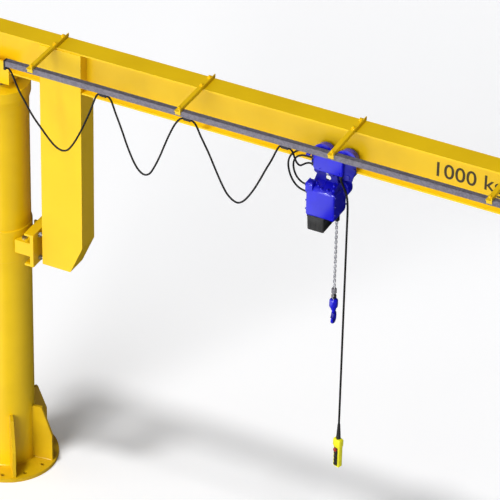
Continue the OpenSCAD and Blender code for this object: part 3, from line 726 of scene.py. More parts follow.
def fins(
    count: int, start: float, pitch: float, width: float, root: float, tip: float
) -> list[Flat]:
    """Stations of a row of cooling fins on a turned piece.

    Args:
        count: how many fins.
        start: where the first one starts.
        pitch: the distance between them.
        width: how wide each is at its root.
        root: the radius between them.
        tip: the radius over them.

    Returns:
        The stations.
    """
    made: list[Flat] = []
    for k in range(count):
        at = start + pitch * k
        made += [(at, root), (at + 1, tip), (at + width - 1, tip), (at + width, root)]
    return made


def bead(points: Sequence[Point], size: float, closed: bool = False) -> Object:
    """A weld bead: a ripple laid along a line.

    Args:
        points: the line's corners.
        size: the bead's radius.
        closed: whether the line runs back to its start.

    Returns:
        The bead.
    """
    corners = [Vector(mm(*p)) for p in points]
    if closed:
        corners.append(corners[0])
    places: list[Vector] = []
    for a, b in zip(corners, corners[1:]):
        steps = max(2, round((b - a).length / RIPPLE * 2))
        places += [a.lerp(b, k / steps) for k in range(steps)]
    if not closed:
        places.append(corners[-1])
    radii = [size / 1000 * (1.0 if k % 2 else 0.8) for k in range(len(places))]
    return sweep("bead", places, radii, 1, closed)


def ring_bead(radius: float, z: float, size: float) -> Object:
    """A weld bead round the upright axis."""
    turns = [math.tau * k / 48 for k in range(48)]
    points = [(radius * math.cos(turn), radius * math.sin(turn), z) for turn in turns]
    return bead(points, size, closed=True)


# ---------------------------------------------------------------- cables


def smooth_path(points: Sequence[Point], steps: int = 5) -> list[Point]:
    """A smooth curve through route points.

    Args:
        points: the route's points.
        steps: how many steps lie between two of them.

    Returns:
        The curve's points.
    """
    route = [Vector(p) for p in points]
    ends = [2 * route[0] - route[1], *route, 2 * route[-1] - route[-2]]
    made: list[Point] = []
    for a, b, c, d in zip(ends, ends[1:], ends[2:], ends[3:]):
        for k in range(steps):
            t = k / steps
            bend = (a * 2 - b * 5 + c * 4 - d) * t**2 + (b * 3 - a - c * 3 + d) * t**3
            made.append(tuple((b * 2 + (c - a) * t + bend) / 2))
    made.append(tuple(route[-1]))
    return made


@dataclass
class Cable:
    """A free cable: its route, size and what holds its ends."""

    name: str
    node: str
    body: str
    route: Sequence[Point]
    diameter: float = 0.012  # in metres
    far_end: str = "object"
    partner: str = ""
    with_pieces: Sequence[str] = ()

    def build(self) -> Object:
        """Returns:
            The cable.
        """
        path = smooth_path([mm(*p) for p in self.route])
        made = sweep(self.name, path, [self.diameter / 2] * len(path), 2)
        made.name = self.name
        bpy.ops.object.shade_smooth()
        paint(made, CABLE)
        if self.partner:
            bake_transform(made)
        else:
            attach(made, self.body)
        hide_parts(self.node)
        return made


@dataclass
class Cables:
    """The festoon's three loops, the leads at the drive and the pendant's cable."""

    rail_y: float = -340.0
    loop_1: Sequence[Flat] = (
        (250.3, 3230), (263, 3226), (275, 3212), (290, 3186), (310, 3140), (335, 3085),
        (370, 3028), (405, 2968), (440, 2918), (485, 2865), (530, 2812), (575, 2770),
        (620, 2752), (660, 2765), (695, 2810), (730, 2875), (765, 2952), (795, 3025),
        (825, 3103), (846, 3166), (860, 3204), (872, 3224), (885.7, 3230),
    )
    loop_2: Sequence[Flat] = (
        (936.3, 3230), (950, 3225), (963, 3208), (976, 3178), (993, 3130), (1015, 3075),
        (1040, 3010), (1065, 2940), (1090, 2878), (1120, 2815), (1155, 2768), (1192, 2752),
        (1228, 2775), (1262, 2840), (1295, 2920), (1325, 3005), (1355, 3085), (1385, 3155),
        (1408, 3195), (1428, 3219), (1450.7, 3230),
    )
    loop_3: Sequence[Flat] = (
        (1501.3, 3230), (1522, 3219), (1541, 3190), (1562, 3145), (1590, 3092), (1620, 3035),
        (1650, 2970), (1680, 2905), (1710, 2845), (1745, 2788), (1785, 2755), (1820, 2748),
        (1855, 2772), (1890, 2820), (1925, 2882), (1960, 2955), (1995, 3035), (2030, 3110),
        (2055, 3172), (2070, 3207), (2081, 3225), (2092.7, 3230),
    )
    tow: Sequence[Point] = (
        (2143.3, -340, 3230), (2157, -339.5, 3224), (2168, -336, 3202), (2175, -324, 3162),
        (2178, -302, 3122), (2175, -268, 3086), (2166, -228, 3056), (2156, -188, 3031),
        (2149, -150, 3012), (2152, -120, 3004), (2166, -104, 3002), (2185.7, -103, 3002),
    )
    inner: Sequence[Point] = (
        (2185.7, -103, 3045), (2155, -102.5, 3045), (2117, -98, 3038), (2082, -93, 3015),
        (2060, -86, 2980), (2052, -79, 2940), (2055, -72, 2898), (2066, -66, 2862),
        (2084, -61, 2835), (2105, -59, 2820), (2126.7, -59, 2815),
    )
    outer: Sequence[Point] = (
        (2185.7, -103, 3080), (2148, -102.5, 3080), (2105, -99, 3070), (2065, -94, 3043),
        (2035, -88, 3003), (2020, -82, 2955), (2020, -76, 2905), (2030, -70, 2857),
        (2048, -65, 2816), (2073, -61, 2785), (2103, -59, 2769), (2133.7, -59, 2765),
    )
    pendant: Sequence[Point] = (
        (2376, -103, 2961.7), (2377, -102.5, 2942), (2384, -96, 2912), (2393, -85, 2876),
        (2401, -73, 2832), (2406, -64, 2780), (2408, -60, 2700),
        *((2408, -60, z) for z in range(2560, 1279, -160)), (2408, -60, 1130.3),
    )

    def build(self) -> None:
        """Builds every cable."""
        bodies = ("jib", "first_carrier", "second_carrier", "towed_carrier")
        for k, loop in enumerate((self.loop_1, self.loop_2, self.loop_3)):
            route = [(x, self.rail_y, z) for x, z in loop]
            name, node = f"festoon_cable_{k + 1}", f"festoon_loop_{k + 1}"
            Cable(name, node, bodies[k], route, partner=bodies[k + 1]).build()
        Cable("tow_lead", "tow_cable", "trolley", self.tow).build()
        Cable("drive_lead_inner", "inner_cable", "trolley", self.inner).build()
        Cable("drive_lead_outer", "outer_cable", "trolley", self.outer).build()
        Cable(
            "pendant_lead",
            "pendant_cable",
            "trolley",
            self.pendant,
            diameter=0.014,
            far_end="tool",
            with_pieces=("pendant_relief", "pendant_case", "pendant_buttons"),
        ).build()


# ---------------------------------------------------------------- pillar and jib


@dataclass
class Pillar:
    """Weld beads of the gussets, the column's foot and its roller track."""

    column_r: float = 177.8
    base_t: float = 25.0
    gusset_turn: float = 7.0
    gussets: int = 6
    gusset_half: float = 10.0
    gusset_h: float = 411.0
    gusset_reach: float = 315.0
    track_z: Flat = (1640.0, 1870.0)
    leg: float = 5.0  # radius of the beads at the foot
    track_leg: float = 4.0

    def gusset_beads(self) -> Object:
        """The beads on both sides of each gusset, along the base and up the column."""
        r, z = self.column_r, self.base_t
        lines = []
        for y in (-self.gusset_half, self.gusset_half):
            lines.append(bead([(r + 4, y, z), (self.gusset_reach - 4, y, z)], self.leg))
            lines.append(bead([(r - 1, y, z + 4), (r - 1, y, z + self.gusset_h)], self.leg))
        turns = [self.gusset_turn + 360 * k / self.gussets for k in range(self.gussets)]
        return copies(join(lines), [placed(turn=turn) for turn in turns])

    def ring_beads(self) -> Object:
        """The beads round the column's foot and the roller track."""
        foot = ring_bead(self.column_r, self.base_t, self.leg)
        track = [ring_bead(self.column_r + 3, z, self.track_leg) for z in self.track_z]
        return join([foot, *track])

    def build(self) -> None:
        """Builds the beads and hangs them on the pillar."""
        # the gusset beads take the foot's yellow, painted darker as painted shade
        settle(self.gusset_beads(), "gusset_welds", "pillar", FOOT_SHADED)
        settle(self.ring_beads(), "column_welds", "pillar", YELLOW)


@dataclass
class Jib:
    """Fasteners, welds and the load sign of the jib."""

    beam_top: float = 3284.0
    beam_z: float = 3000.0
    flange_half: float = 72.0
    rail_y: float = 340.0
    bracket_x: float = 425.0
    bracket_pitch: float = 1000.0
    brackets: int = 4
    bracket_t: float = 5.0
    leg_x: Flat = (327.0, 611.0)
    sign_place: Point = (2915.0, -4.6, 3096.0)  # a hair proud of the web
    sign_size: float = 139.16  # its figures stand 98 high
    sign_paint: float = 0.4

    def bracket_bolts(self) -> Object:
        """Bolts of the rail brackets: one over the rail and two clips at the beam."""
        x, y, z = self.bracket_x - 6, self.flange_half - 20, self.beam_top + self.bracket_t
        parts = [bolt((x, -self.rail_y, z), Axis.Z, 10, 4)]
        parts += [bolt((x, side, z), Axis.Z, 12, 5) for side in (-y, y)]
        return copies(join(parts), [placed(self.bracket_pitch * k) for k in range(self.brackets)])

    def leg_beads(self) -> Object:
        """Beads where the downleg meets the beam's lower flange."""
        (x0, x1), y, z = self.leg_x, self.flange_half + 1, self.beam_z - 1
        return join([bead([(x0, side, z), (x1, side, z)], 3.5) for side in (-y, y)])

    def sign(self) -> Object:
        """Painted figures of the rated load."""
        clear()
        bpy.ops.object.text_add()
        text = bpy.context.object.data
        text.body = "1000 kg"
        text.size, text.extrude, text.offset = mm(self.sign_size, self.sign_paint, 1.2)
        text.space_character = 1.02
        bpy.ops.object.convert(target="MESH")
        made = bpy.context.object
        upright = Matrix.Rotation(math.radians(90), 4, "X")
        made.matrix_world = placed(*self.sign_place) @ upright
        return bake_place(made)

    def build(self) -> None:
        """Builds the jib's fittings."""
        settle(self.bracket_bolts(), "bracket_bolts", "jib", YELLOW)
        settle(self.leg_beads(), "downleg_welds", "jib", YELLOW)
        settle(self.sign(), "load_sign", "jib", SIGN)


# ---------------------------------------------------------------- trolley


@dataclass
class Trolley:
    """The pressed drive cover, the rods that carry the hoist and the travel drive."""

    cover_x: Flat = (2196, 2388)
    cover_y: Flat = (-116, -90)
    cover_z: Flat = (2972, 3102)
    plate_x: Flat = (2174, 2464)
    plate_z: Flat = (2995, 3095)
    plate_t: float = 10.0
    side_y: float = 90.0
    rods: Sequence[Flat] = ((2217, 2957), (2307, 2957), (2414, 2966))
    rod_d: float = 24.0
    tie_d: float = 54.0
    axles: Flat = (2243, 2395)
    axle_z: float = 3069.3
    drive_x: float = 2360.5
    drive_z: float = 2995.0

    def cover_outline(self, inset: float) -> list[Flat]:
        """The cover's outline in x and z, moved in by a margin."""
        x0, x1 = self.cover_x[0] + inset, self.cover_x[1] - inset
        z0, z1 = self.cover_z[0] + inset, self.cover_z[1] - inset
        return [(x0 + 30, z0), (x1 - 4, z0), (x1, z0 + 4), (x1, z1 - 4), (x1 - 4, z1),
                (x0 + 4, z1), (x0, z1 - 4), (x0, z0 + 16), (x0 + 8, z0 + 6)]

    def cover(self) -> Object:
        """The cover: a tray with a rounded rim and a raised, softly dished front."""
        (front, back), (x0, x1), (z0, z1) = self.cover_y, self.cover_x, self.cover_z
        tray = plate(self.cover_outline(0), Axis.Y, front + 4, back, 3, 3)
        face = plate(self.cover_outline(3), Axis.Y, front, back, 2, 3)
        places = ((x0 + 22, z1 - 20), (x1 - 20, z1 - 20), (x1 - 20, z0 + 20), (x0 + 46, z0 + 20))
        screws = [socket_screw((x, front, z), Axis.BACK, 5) for x, z in places]
        return join([*screws, tray, face])

    def side_plates(self) -> Object:
        """The two side plates, the near one notched above the suspension lug's eye."""
        (x0, x1), (z0, z1) = self.plate_x, self.plate_z
        rim = [(2332, 2951), (2340, z0), (2377, z0), (2387, 2939), (2441, 2939), (2455, z0),
               (x1, z0 + 12), (x1, z1 - 25), (x1 - 25, z1), (x0 + 25, z1), (x0, z1 - 25),
               (x0, z0), (2192, z0), (2192, 2951)]
        notched = [(2200, 2941), (2228, 2941), (2236, 2958), (2284, 2958), (2292, 2941),
                   (2323, 2941)]
        plain = [(2202, 2927), (2322, 2927)]
        holes = [(x, self.axle_z, 15.1) for x in self.axles]
        holes += [(x, z, self.rod_d / 2 + 0.3) for x, z in self.rods]
        parts = []
        for low, foot in ((-self.side_y, notched), (self.side_y - self.plate_t, plain)):
            made = plate([*foot, *rim], Axis.Y, low, low + self.plate_t, 2)
            for x, z, radius in holes:
                bore(made, (x, low - 5, z), Axis.Y, radius, 20)
            parts.append(made)
        return join(parts)

    def rod_set(self) -> Object:
        """The three rods with a bolt head at the front and a nut behind."""
        y, r = self.side_y, self.rod_d / 2
        rod = [(0, r), (2 * y + 22, r), (2 * y + 24, r - 2)]
        parts = []
        for x, z in self.rods:
            parts += [turned(rod, (x, -y, z), Axis.Y, 28), hexagon((x, y, z), Axis.Y, 36, 19)]
        return join(parts)

    def rod_heads(self) -> Object:
        """The rods' painted heads on the front side plate."""
        return join([hexagon((x, -self.side_y, z), Axis.BACK, 28, 7) for x, z in self.rods])

    def tie_tube(self) -> Object:
        """The painted distance tube between the side plates."""
        (x, z), r, inner, half = self.rods[2], self.tie_d / 2, 24, 79.7
        stations = [(0, inner), (0, r - 1), (1, r), (2 * half - 1.4, r), (2 * half, r - 1),
                    (2 * half, inner)]
        return turned(stations, (x, -half, z), Axis.Y)

    def axle_ends(self) -> Object:
        """Keeper plates and screws on the outer ends of the wheel axles."""
        near, far = (-self.side_y, Axis.BACK), (self.side_y, Axis.Y)
        left, right = self.axles
        parts = [
            turned([(0, 12.5), (3, 12.5), (4, 11.5)], (x, y, self.axle_z), axis, 28)
            for x, y, axis in ((left, *far), (right + 5, *near), (right, *far))
        ]
        for x, z in ((2455, 3034), (2446, 3078), (2186, 3078)):
            parts += [bolt((x, y, z), axis, 10) for y, axis in (near, far)]
        return join(parts)

    def drive(self) -> Object:
        """Gear case behind the far side plate, with its finned motor across it."""
        x, y, z = self.drive_x, self.side_y, self.drive_z
        parts = [
            block((x - 30, y, z - 60), (x + 30, y + 40, z + 60), 7, 3),
            block((x - 30, y + 26, z - 60), (x + 30, y + 60, z + 20), 7, 3),
            block((x - 33, y + 17, z - 57), (x + 33, y + 21, z + 57), 1, 1),
        ]
        motor = [(0, 30), (1, 36), *fins(9, 8, 12.5, 5, 37, 43), (126, 37), (127, 42.5),
                 (129, 43), (176, 43), (180, 39), (180, 0)]
        parts.append(turned(motor, (x - 90, y + 85, z - 20), Axis.X))
        for dx, dy, dz in ((-22, 40, 48), (22, 40, 48), (-22, 60, -50), (22, 60, -50)):
            parts.append(bolt((x + dx, y + dy, z + dz), Axis.Y, 7))
        return join(parts)

    def build(self) -> None:
        """Builds the trolley's fittings."""
        settle(self.cover(), "drive_cover_shell", "trolley", BLUE, "drive_cover")
        # the side plates take the blue painted darker, painted shade for the shadow of the cover
        # and the beam
        settle(self.side_plates(), "trolley_side_plates", "trolley", SHADED_BLUE, "trolley_sides")
        settle(self.rod_set(), "hanger_rod_set", "trolley", ZINC, "hanger_rods")
        settle(self.rod_heads(), "rod_heads", "trolley", SHADED_BLUE)
        settle(self.tie_tube(), "tie_tube", "trolley", SHADED_BLUE)
        settle(self.axle_ends(), "axle_keepers", "trolley", SHADED_BLUE)
        settle(self.drive(), "travel_drive", "trolley", BLUE, "travel_motor")


# ---------------------------------------------------------------- hoist


@dataclass
class Hoist:
    """Casing with bevelled end covers, cast roof, finned motor and chain bucket."""

    x: Flat = (2144, 2330)
    half_w: float = 88.0
    z: Flat = (2612, 2810)
    fall: float = 42.0
    foot: float = 12.0
    lug_x: float = 2262.0
    pin_z: float = 2915.0
    eye: Flat = (2249, 2864)
    roof_slope: float = 0.52
    box_x: Flat = (2137, 2185)
    box_y: Flat = (-88, -30)
    box_z: Flat = (2782, 2846)
    motor_x: float = 2272.0
    motor_z: float = 2740.0
    motor_r: float = 70.0
    motor_l: float = 66.0
    bucket_x: Flat = (2146, 2262)
    bucket_half: float = 73.0
    bucket_z: Flat = (2502, 2612)

    def outline(self, inset: float) -> list[Flat]:
        """The casing's outline in y and z, its top falling towards the back."""
        w, low, top = self.half_w - inset, self.z[0] + inset, self.z[1] - inset
        foot, back = self.foot, top - self.fall
        return [(foot - w, low), (w - foot, low), (w, low + foot), (w, back - 6),
                (w - 6, back + 1), (6 - w, top - 1), (-w, top - 8), (-w, low + foot)]

    def casing(self) -> Object:
        """The cast casing: a body between two end covers, with a seam at each."""
        x0, x1 = self.x
        slabs = (
            (3.5, x1 - 20, x1, 4, 3), (3.5, x0, x0 + 20, 4, 3), (1.6, x0 + 43, x1 - 33, 4, 2),
            (0, x1 - 34, x1 - 4, 5, 3), (0, x0 + 4, x0 + 44, 5, 3),
        )
        return join([plate(self.outline(inset), Axis.X, *run) for inset, *run in slabs])

    def roof(self) -> Object:
        """The cast roof that rises from the casing's edges to the suspension lug."""
        x0, x1, top = *self.x, self.z[1]
        rib = [(-74, top - 4), (-70, top + 5), (-14, top + 35), (14, top + 35), (60, top - 20)]
        shell = [(-82, top - 9), (-80, top - 3), (-13, top + 32), (13, top + 32), (74, top - 34),
                 (76, top - 44)]
        ribs = [plate(rib, Axis.X, x0 + at, x0 + at + 7, 2) for at in (148, 92)]
        return join([*ribs, plate(shell, Axis.X, x0 + 22, x1 - 12, 4, 3)])

    def front_panel(self) -> Object:
        """The raised cover plate on the casing's front."""
        x0, x1, z0, z1 = self.x[0] + 9, self.x[1] - 9, self.z[0] + 15, self.z[1] - 12
        rim = [(x0 + 3, z0), (x1 - 3, z0), (x1, z0 + 3), (x1, z1 - 3), (x1 - 3, z1), (x0 + 3, z1),
               (x0, z1 - 3), (x0, z0 + 3)]
        return plate(rim, Axis.Y, -self.half_w - 0.2, 6 - self.half_w, 2, 3)

    def terminal_box(self) -> Object:
        """The terminal box with its lid and four screws."""
        (x0, x1), (y0, y1), (z0, z1) = self.box_x, self.box_y, self.box_z
        corners = [(x, y, z1) for x in (x1 - 9, x0 + 9) for y in (y1 - 9, y0 + 9)]
        screws = [socket_screw(corner, Axis.Z, 6) for corner in corners]
        lid = block((x0 + 0.5, y0 + 0.5, z1 - 9), (x1 - 0.5, y1 - 0.5, z1), 4, 3)
        return join([*screws, lid, block((x0, y0, z0), (x1, y1, z1 - 10), 4, 3)])

    def lug(self) -> Object:
        """The suspension lug with its pin hole and its open eye."""
        x, pin, top = self.lug_x, self.pin_z, self.z[1]
        rim = [(x - 112, top - self.fall), (x + 60, top - self.fall), (x + 60, top - 6),
               (x + 34, pin + 10), (x + 18, pin + 20), (x - 50, pin + 20), (x - 72, pin + 15),
               (x - 112, top - 6)]
        made = plate(rim, Axis.Y, -4, 4, 1.5)
        bore(made, (self.eye[0], -20, self.eye[1]), Axis.Y, 17.5, 40)
        boss = [(0, 12.2), (0, 21), (1, 22), (19, 22), (20, 21), (20, 12.2)]
        bore(made, (x, -20, pin), Axis.Y, 12.6, 40)
        return join([turned(boss, (x, -10, pin), Axis.Y), made])

    def bolts(self) -> Object:
        """Painted screws of the two end covers."""
        (x0, x1), w, top = self.x, self.half_w - 15, self.z[1]
        places = ((-w, 2660), (-w, 2720), (-w, top - 26), (w, 2660), (w, 2720), (0, 2636),
                  (w - 15, top - self.fall - 20))
        parts = []
        for y, z in places:
            parts.append(socket_screw((x1, y, z), Axis.X, 8))
            parts.append(socket_screw((x0, y, z - 6), Axis.LEFT, 8))
        return join(parts)

    def cap_screws(self) -> Object:
        """Painted cap screws in the roof."""
        low = self.z[1] - 3
        front = ((2190, -37), (2208, -52), (2232, -66), (2274, -64), (2300, -30), (2310, -56))
        places = [(x, y, low + (y + 80) * self.roof_slope) for x, y in front]
        places += [(x, 52, self.z[1] - 12) for x in (2206, 2300)]
        return join([socket_screw(place, Axis.Z, 10) for place in places])

    def motor(self) -> Object:
        """The flanged motor with cooling fins, a fan cowl and its slotted end."""
        end, r = self.motor_l, self.motor_r
        stations = [(0, 30), (0, r - 2), (1, r), (6, r), (7, r - 6),
                    *fins(5, 11, 7.8, 4, r - 6, r), (end - 18, r - 6), (end - 17, r - 1),
                    (end - 16, r), (end - 5, r), (end - 1, r - 4), (end, r - 8)]
        for share in (0.78, 0.52):
            stations += [(end, r * share), (end - 3, r * (share - 0.02)),
                         (end - 3, r * (share - 0.12)), (end, r * (share - 0.14))]
        base = (self.motor_x, self.half_w, self.motor_z)
        return turned([*stations, (end, 0)], base, Axis.Y, 56)

    def bucket(self) -> Object:
        """The moulded chain bucket: a tapered bin with a rolled rim and ribs."""
        (x0, x1), y, (z0, z1) = self.bucket_x, self.bucket_half, self.bucket_z
        made = block((x0, -y, z0), (x1, y, z1))
        bpy.ops.object.mode_set(mode="EDIT")
        bpy.ops.mesh.select_all(action="DESELECT")
        bpy.ops.object.mode_set(mode="OBJECT")
        middle = (z0 + z1) / 2000
        for vertex in made.data.vertices:
            vertex.select = vertex.co.z < middle
        bpy.ops.object.mode_set(mode="EDIT")
        centre = mm((x0 + x1) / 2, 0, z0)
        bpy.ops.transform.resize(value=(0.94, 0.95, 1.0), center_override=centre)
        bpy.ops.object.mode_set(mode="OBJECT")
        round_edges(made, 10, 4)
        rim = block((x0 - 0.5, -y - 0.5, z1 - 14), (x1 + 0.5, y + 0.5, z1 - 1), 4.5, 3)
        ribs = [
            block((x0 + at, 0.8 - y, z0 + 14), (x0 + at + 3, y - 0.8, z1 - 12), 1, 1)
            for at in (26, 56.5, 87)
        ]
        return join([rim, *ribs, made])

    def build(self) -> None:
        """Builds the hoist."""
        shell = join([self.front_panel(), self.terminal_box(), self.casing()])
        settle(shell, "hoist_shell", "trolley", BLUE, "hoist_casing")
        # the lug takes the darker blue, painted shade for the shadow under the drive cover
        roof = join([paint(self.lug(), SHADED_BLUE), paint(self.roof(), ROOF)])
        settle(roof, "hoist_roof", "trolley", ROOF)
        settle(self.bolts(), "hoist_screws", "trolley", SHADED_BLUE)
        settle(self.cap_screws(), "roof_screws", "trolley", BLUE)
        settle(self.motor(), "hoist_motor_finned", "trolley", BLUE, "hoist_motor")
        settle(self.bucket(), "chain_bin", "trolley", BUCKET, "chain_bucket")


@dataclass
class ChainAndHook:
    """Round-link chain, its stopper, the hook block and the load hook with its latch."""

    x: float = 2313.0
    links: int = 31
    wire: float = 6.0
    link_inner: float = 18.0
    link_w: float = 8.0
    first_z: float = 2596.7
    step: float = 17.7
    block_z: float = 1940.0
    block_h: float = 66.0
    block_r: float = 27.0
    bowl_z: float = 1871.0
    bowl_r: float = 31.0
    hook_turn: float = 102.0

    def link(self) -> Object:
        """One link: a torus drawn out to its length."""
        clear()
        major, minor, half = mm(
            (self.link_w + self.wire) / 2, self.wire / 2, (self.link_inner - self.link_w) / 2
        )
        bpy.ops.mesh.primitive_torus_add(
            major_radius=major, minor_radius=minor, major_segments=20, minor_segments=10,
            rotation=(math.pi / 2, 0, 0),
        )
        made = bake_place(bpy.context.object)
        level = 0.0001  # a vertex this near the middle stays there
        for vertex in made.data.vertices:
            if abs(vertex.co.z) > level:
                vertex.co.z += math.copysign(half, vertex.co.z)
        return made

    def chain(self) -> Object:
        """All links, each turned a quarter from the last."""
        places = [(self.first_z - k * self.step, 45 + 90 * (k % 2)) for k in range(self.links)]
        return copies(self.link(), [placed(self.x, 0, z, turn) for z, turn in places])

    def shell(self) -> Object:
        """The block: a cast body with a seam and its screws."""
        r, z0, z1 = self.block_r, self.block_z, self.block_z + self.block_h
        stations = [(z0, 11), (z0, r * 0.68), (z0 + 2, r * 0.76), (z0 + 8, r * 0.93),
                    (z0 + 14, r), (z1 - 13, r), (z1 - 8, r - 2), (z1 - 2, r - 7), (z1, r - 10),
                    (z1, 11)]
        body = turned(stations, (self.x, 0, 0), sides=48)
        parts = []
        for y, axis in ((3 - r, Axis.BACK), (r - 3, Axis.Y)):
            parts += [socket_screw((self.x + 9, y, z0 + dz), axis, 6) for dz in (18, 46)]
        return join([*parts, body])

    def neck(self) -> Object:
        """The thrust washer and the neck over the block."""
        stations = [(-1, 11), (10, 11), (11, 15), (12, 16), (26, 16), (27, 15), (28, 11), (43, 11)]
        return turned(stations, (self.x, 0, self.block_z + self.block_h), sides=36)

    def stopper(self) -> Object:
        """The rubber stopper that meets the chain guide."""
        stations = [(0, 10.5), (0, 14), (3, 16.5), (12, 16.5), (16, 14.5), (20, 16.5), (30, 16.5),
                    (34, 14), (34, 10.8)]
        return turned(stations, (self.x, 0, self.block_z + self.block_h + 42), sides=36)

    def hook(self) -> Object:
        """The forged hook: shank, swelling bowl and drawn point, with its pressed latch."""
        r, z, seat = self.bowl_r, self.bowl_z, self.block_z
        line = [(0, seat + 12, 10), (0, seat - 10, 10), (0, z + r + 8, 10.2), (0, z + r, 11)]
        for k in range(1, 28):
            turn = math.radians(90 - 10 * k)
            swell = 15 - 3.4 * abs(k - 14) / 14 if k < 18 else 14 - 0.68 * (k - 18)
            line.append((r * math.cos(turn), z + r * math.sin(turn), swell))
        line += [(-r - 0.6, z + 5, 7.2), (-r - 2, z + 9, 5.6), (-r - 3, z + 11, 3.2)]
        radii = [size / 1000 for *_, size in line]
        bar = sweep("load_hook_bar", [mm(u, 0, v) for u, v, _ in line], radii, 6)
        ring = [(0, 12), (0, 15.5), (1.5, 17), (10.5, 17), (12, 15.5), (12, 12)]
        collar = turned(ring, (0, 0, seat - 14), sides=32)
        tongue = [(-7, z + r + 1), (-10, z + r - 8), (4 - r, z + 10), (-r - 7, z + 14),
                  (-r - 7, z + 17), (1 - r, z + 17.5), (-9, z + r + 5), (-6, z + r + 5)]
        latch = plate(tongue, Axis.Y, -10, 10, 0.8)
        # the latch takes the darker blue, painted shade for the dark throat of the hook
        made = join([paint(latch, SHADED_BLUE), paint(collar, BLUE), paint(bar, BLUE)])
        made.matrix_world = placed(self.x, turn=self.hook_turn)
        return bake_place(made)

    def build(self) -> None:
        """Builds the chain, the block and the hook."""
        chain = self.chain()
        bpy.ops.object.shade_smooth()
        chain.name = chain.data.name = "round_link_chain"
        paint(chain, CHAIN)
        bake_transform(chain)
        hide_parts("load_chain")
        settle(self.shell(), "hook_block_shell", "block", BLUE, "hook_block")
        settle(self.neck(), "block_neck", "block", TURNED)
        settle(self.stopper(), "chain_stopper", "block", STOPPER)
        settle(self.hook(), "load_hook_forged", "load_hook", BLUE, "hook")


@dataclass
class Pendant:
    """The hanging push-button control: a two-part case, a button strip and a stop button."""

    x: float = 2408.0
    y: float = -60.0
    z: float = 778.0
    w: float = 50.0
    t: float = 38.0
    h: float = 237.0
    turn: float = -20.0
    boot_top: float = 1130.0
    boot_ribs: int = 9

    def place(self, piece: Object) -> Object:
        """Turns and moves a piece from the pendant's own axes to its place."""
        piece.matrix_world = placed(self.x, self.y, self.z, self.turn) @ piece.matrix_world
        return bake_place(piece)

    def case(self) -> Object:
        """The case: a slimmer body under a wider head, with a seam round its middle."""
        w, t, h = self.w / 2, self.t / 2, self.h
        seam = block((-w - 0.6, -1.5, 30), (w + 0.6, 1.5, h - 58), 1, 1)
        head = block((-w - 6, -t - 3, h - 60), (w + 6, t + 2, h), 12, 4)
        body = block((-w, 2 - t, 24), (w, t, h - 54), 8, 4)
        return self.place(join([seam, head, body]))

    def strip(self) -> Object:
        """The black strip with its four hooded push buttons."""
        y = -self.t / 2
        key = [(0, 12.5), (3, 12.5), (4, 10.5), (5.5, 10), (7, 8.5), (7, 0)]
        parts = [turned(key, (0, y - 1.5, 52 + 28 * k), Axis.BACK, 28) for k in (3, 2, 1, 0)]
        return self.place(join([*parts, block((-15, y, 36), (15, y + 8, 172), 2)]))

    def stop(self) -> Object:
        """The red mushroom button on its collar."""
        button = [(0, 8), (5, 8), (6, 12.5), (8, 13.5), (10, 13.3), (12, 12), (13.5, 8), (14, 0)]
        return self.place(turned(button, (0, -self.t / 2, 161), Axis.BACK, 36))

    def relief(self) -> Object:
        """The ribbed rubber boot where the cable enters."""
        low = self.z + self.h
        length = self.boot_top - low
        stations: list[Flat] = [(0, 14.8)]
        for k in range(self.boot_ribs):
            share = k / self.boot_ribs
            at, r = length * share, 15 - 6.8 * share
            stations += [(at + 0.5, r), (at + 8, r - 0.4), (at + 9, r - 2.2), (at + 11.5, r - 2.4)]
        return turned([*stations, (length, 6.8)], (self.x, self.y, low), sides=28)

    def build(self) -> None:
        """Builds the pendant."""
        settle(self.case(), "pendant_shell", "trolley", ABS_YELLOW, "pendant_case")
        settle(self.strip(), "pendant_keys", "trolley", NYLON, "pendant_buttons")
        settle(self.stop(), "pendant_stop", "trolley", ABS_RED)
        settle(self.relief(), "pendant_boot", "trolley", BOOT, "pendant_relief")


# ---------------------------------------------------------------- stage


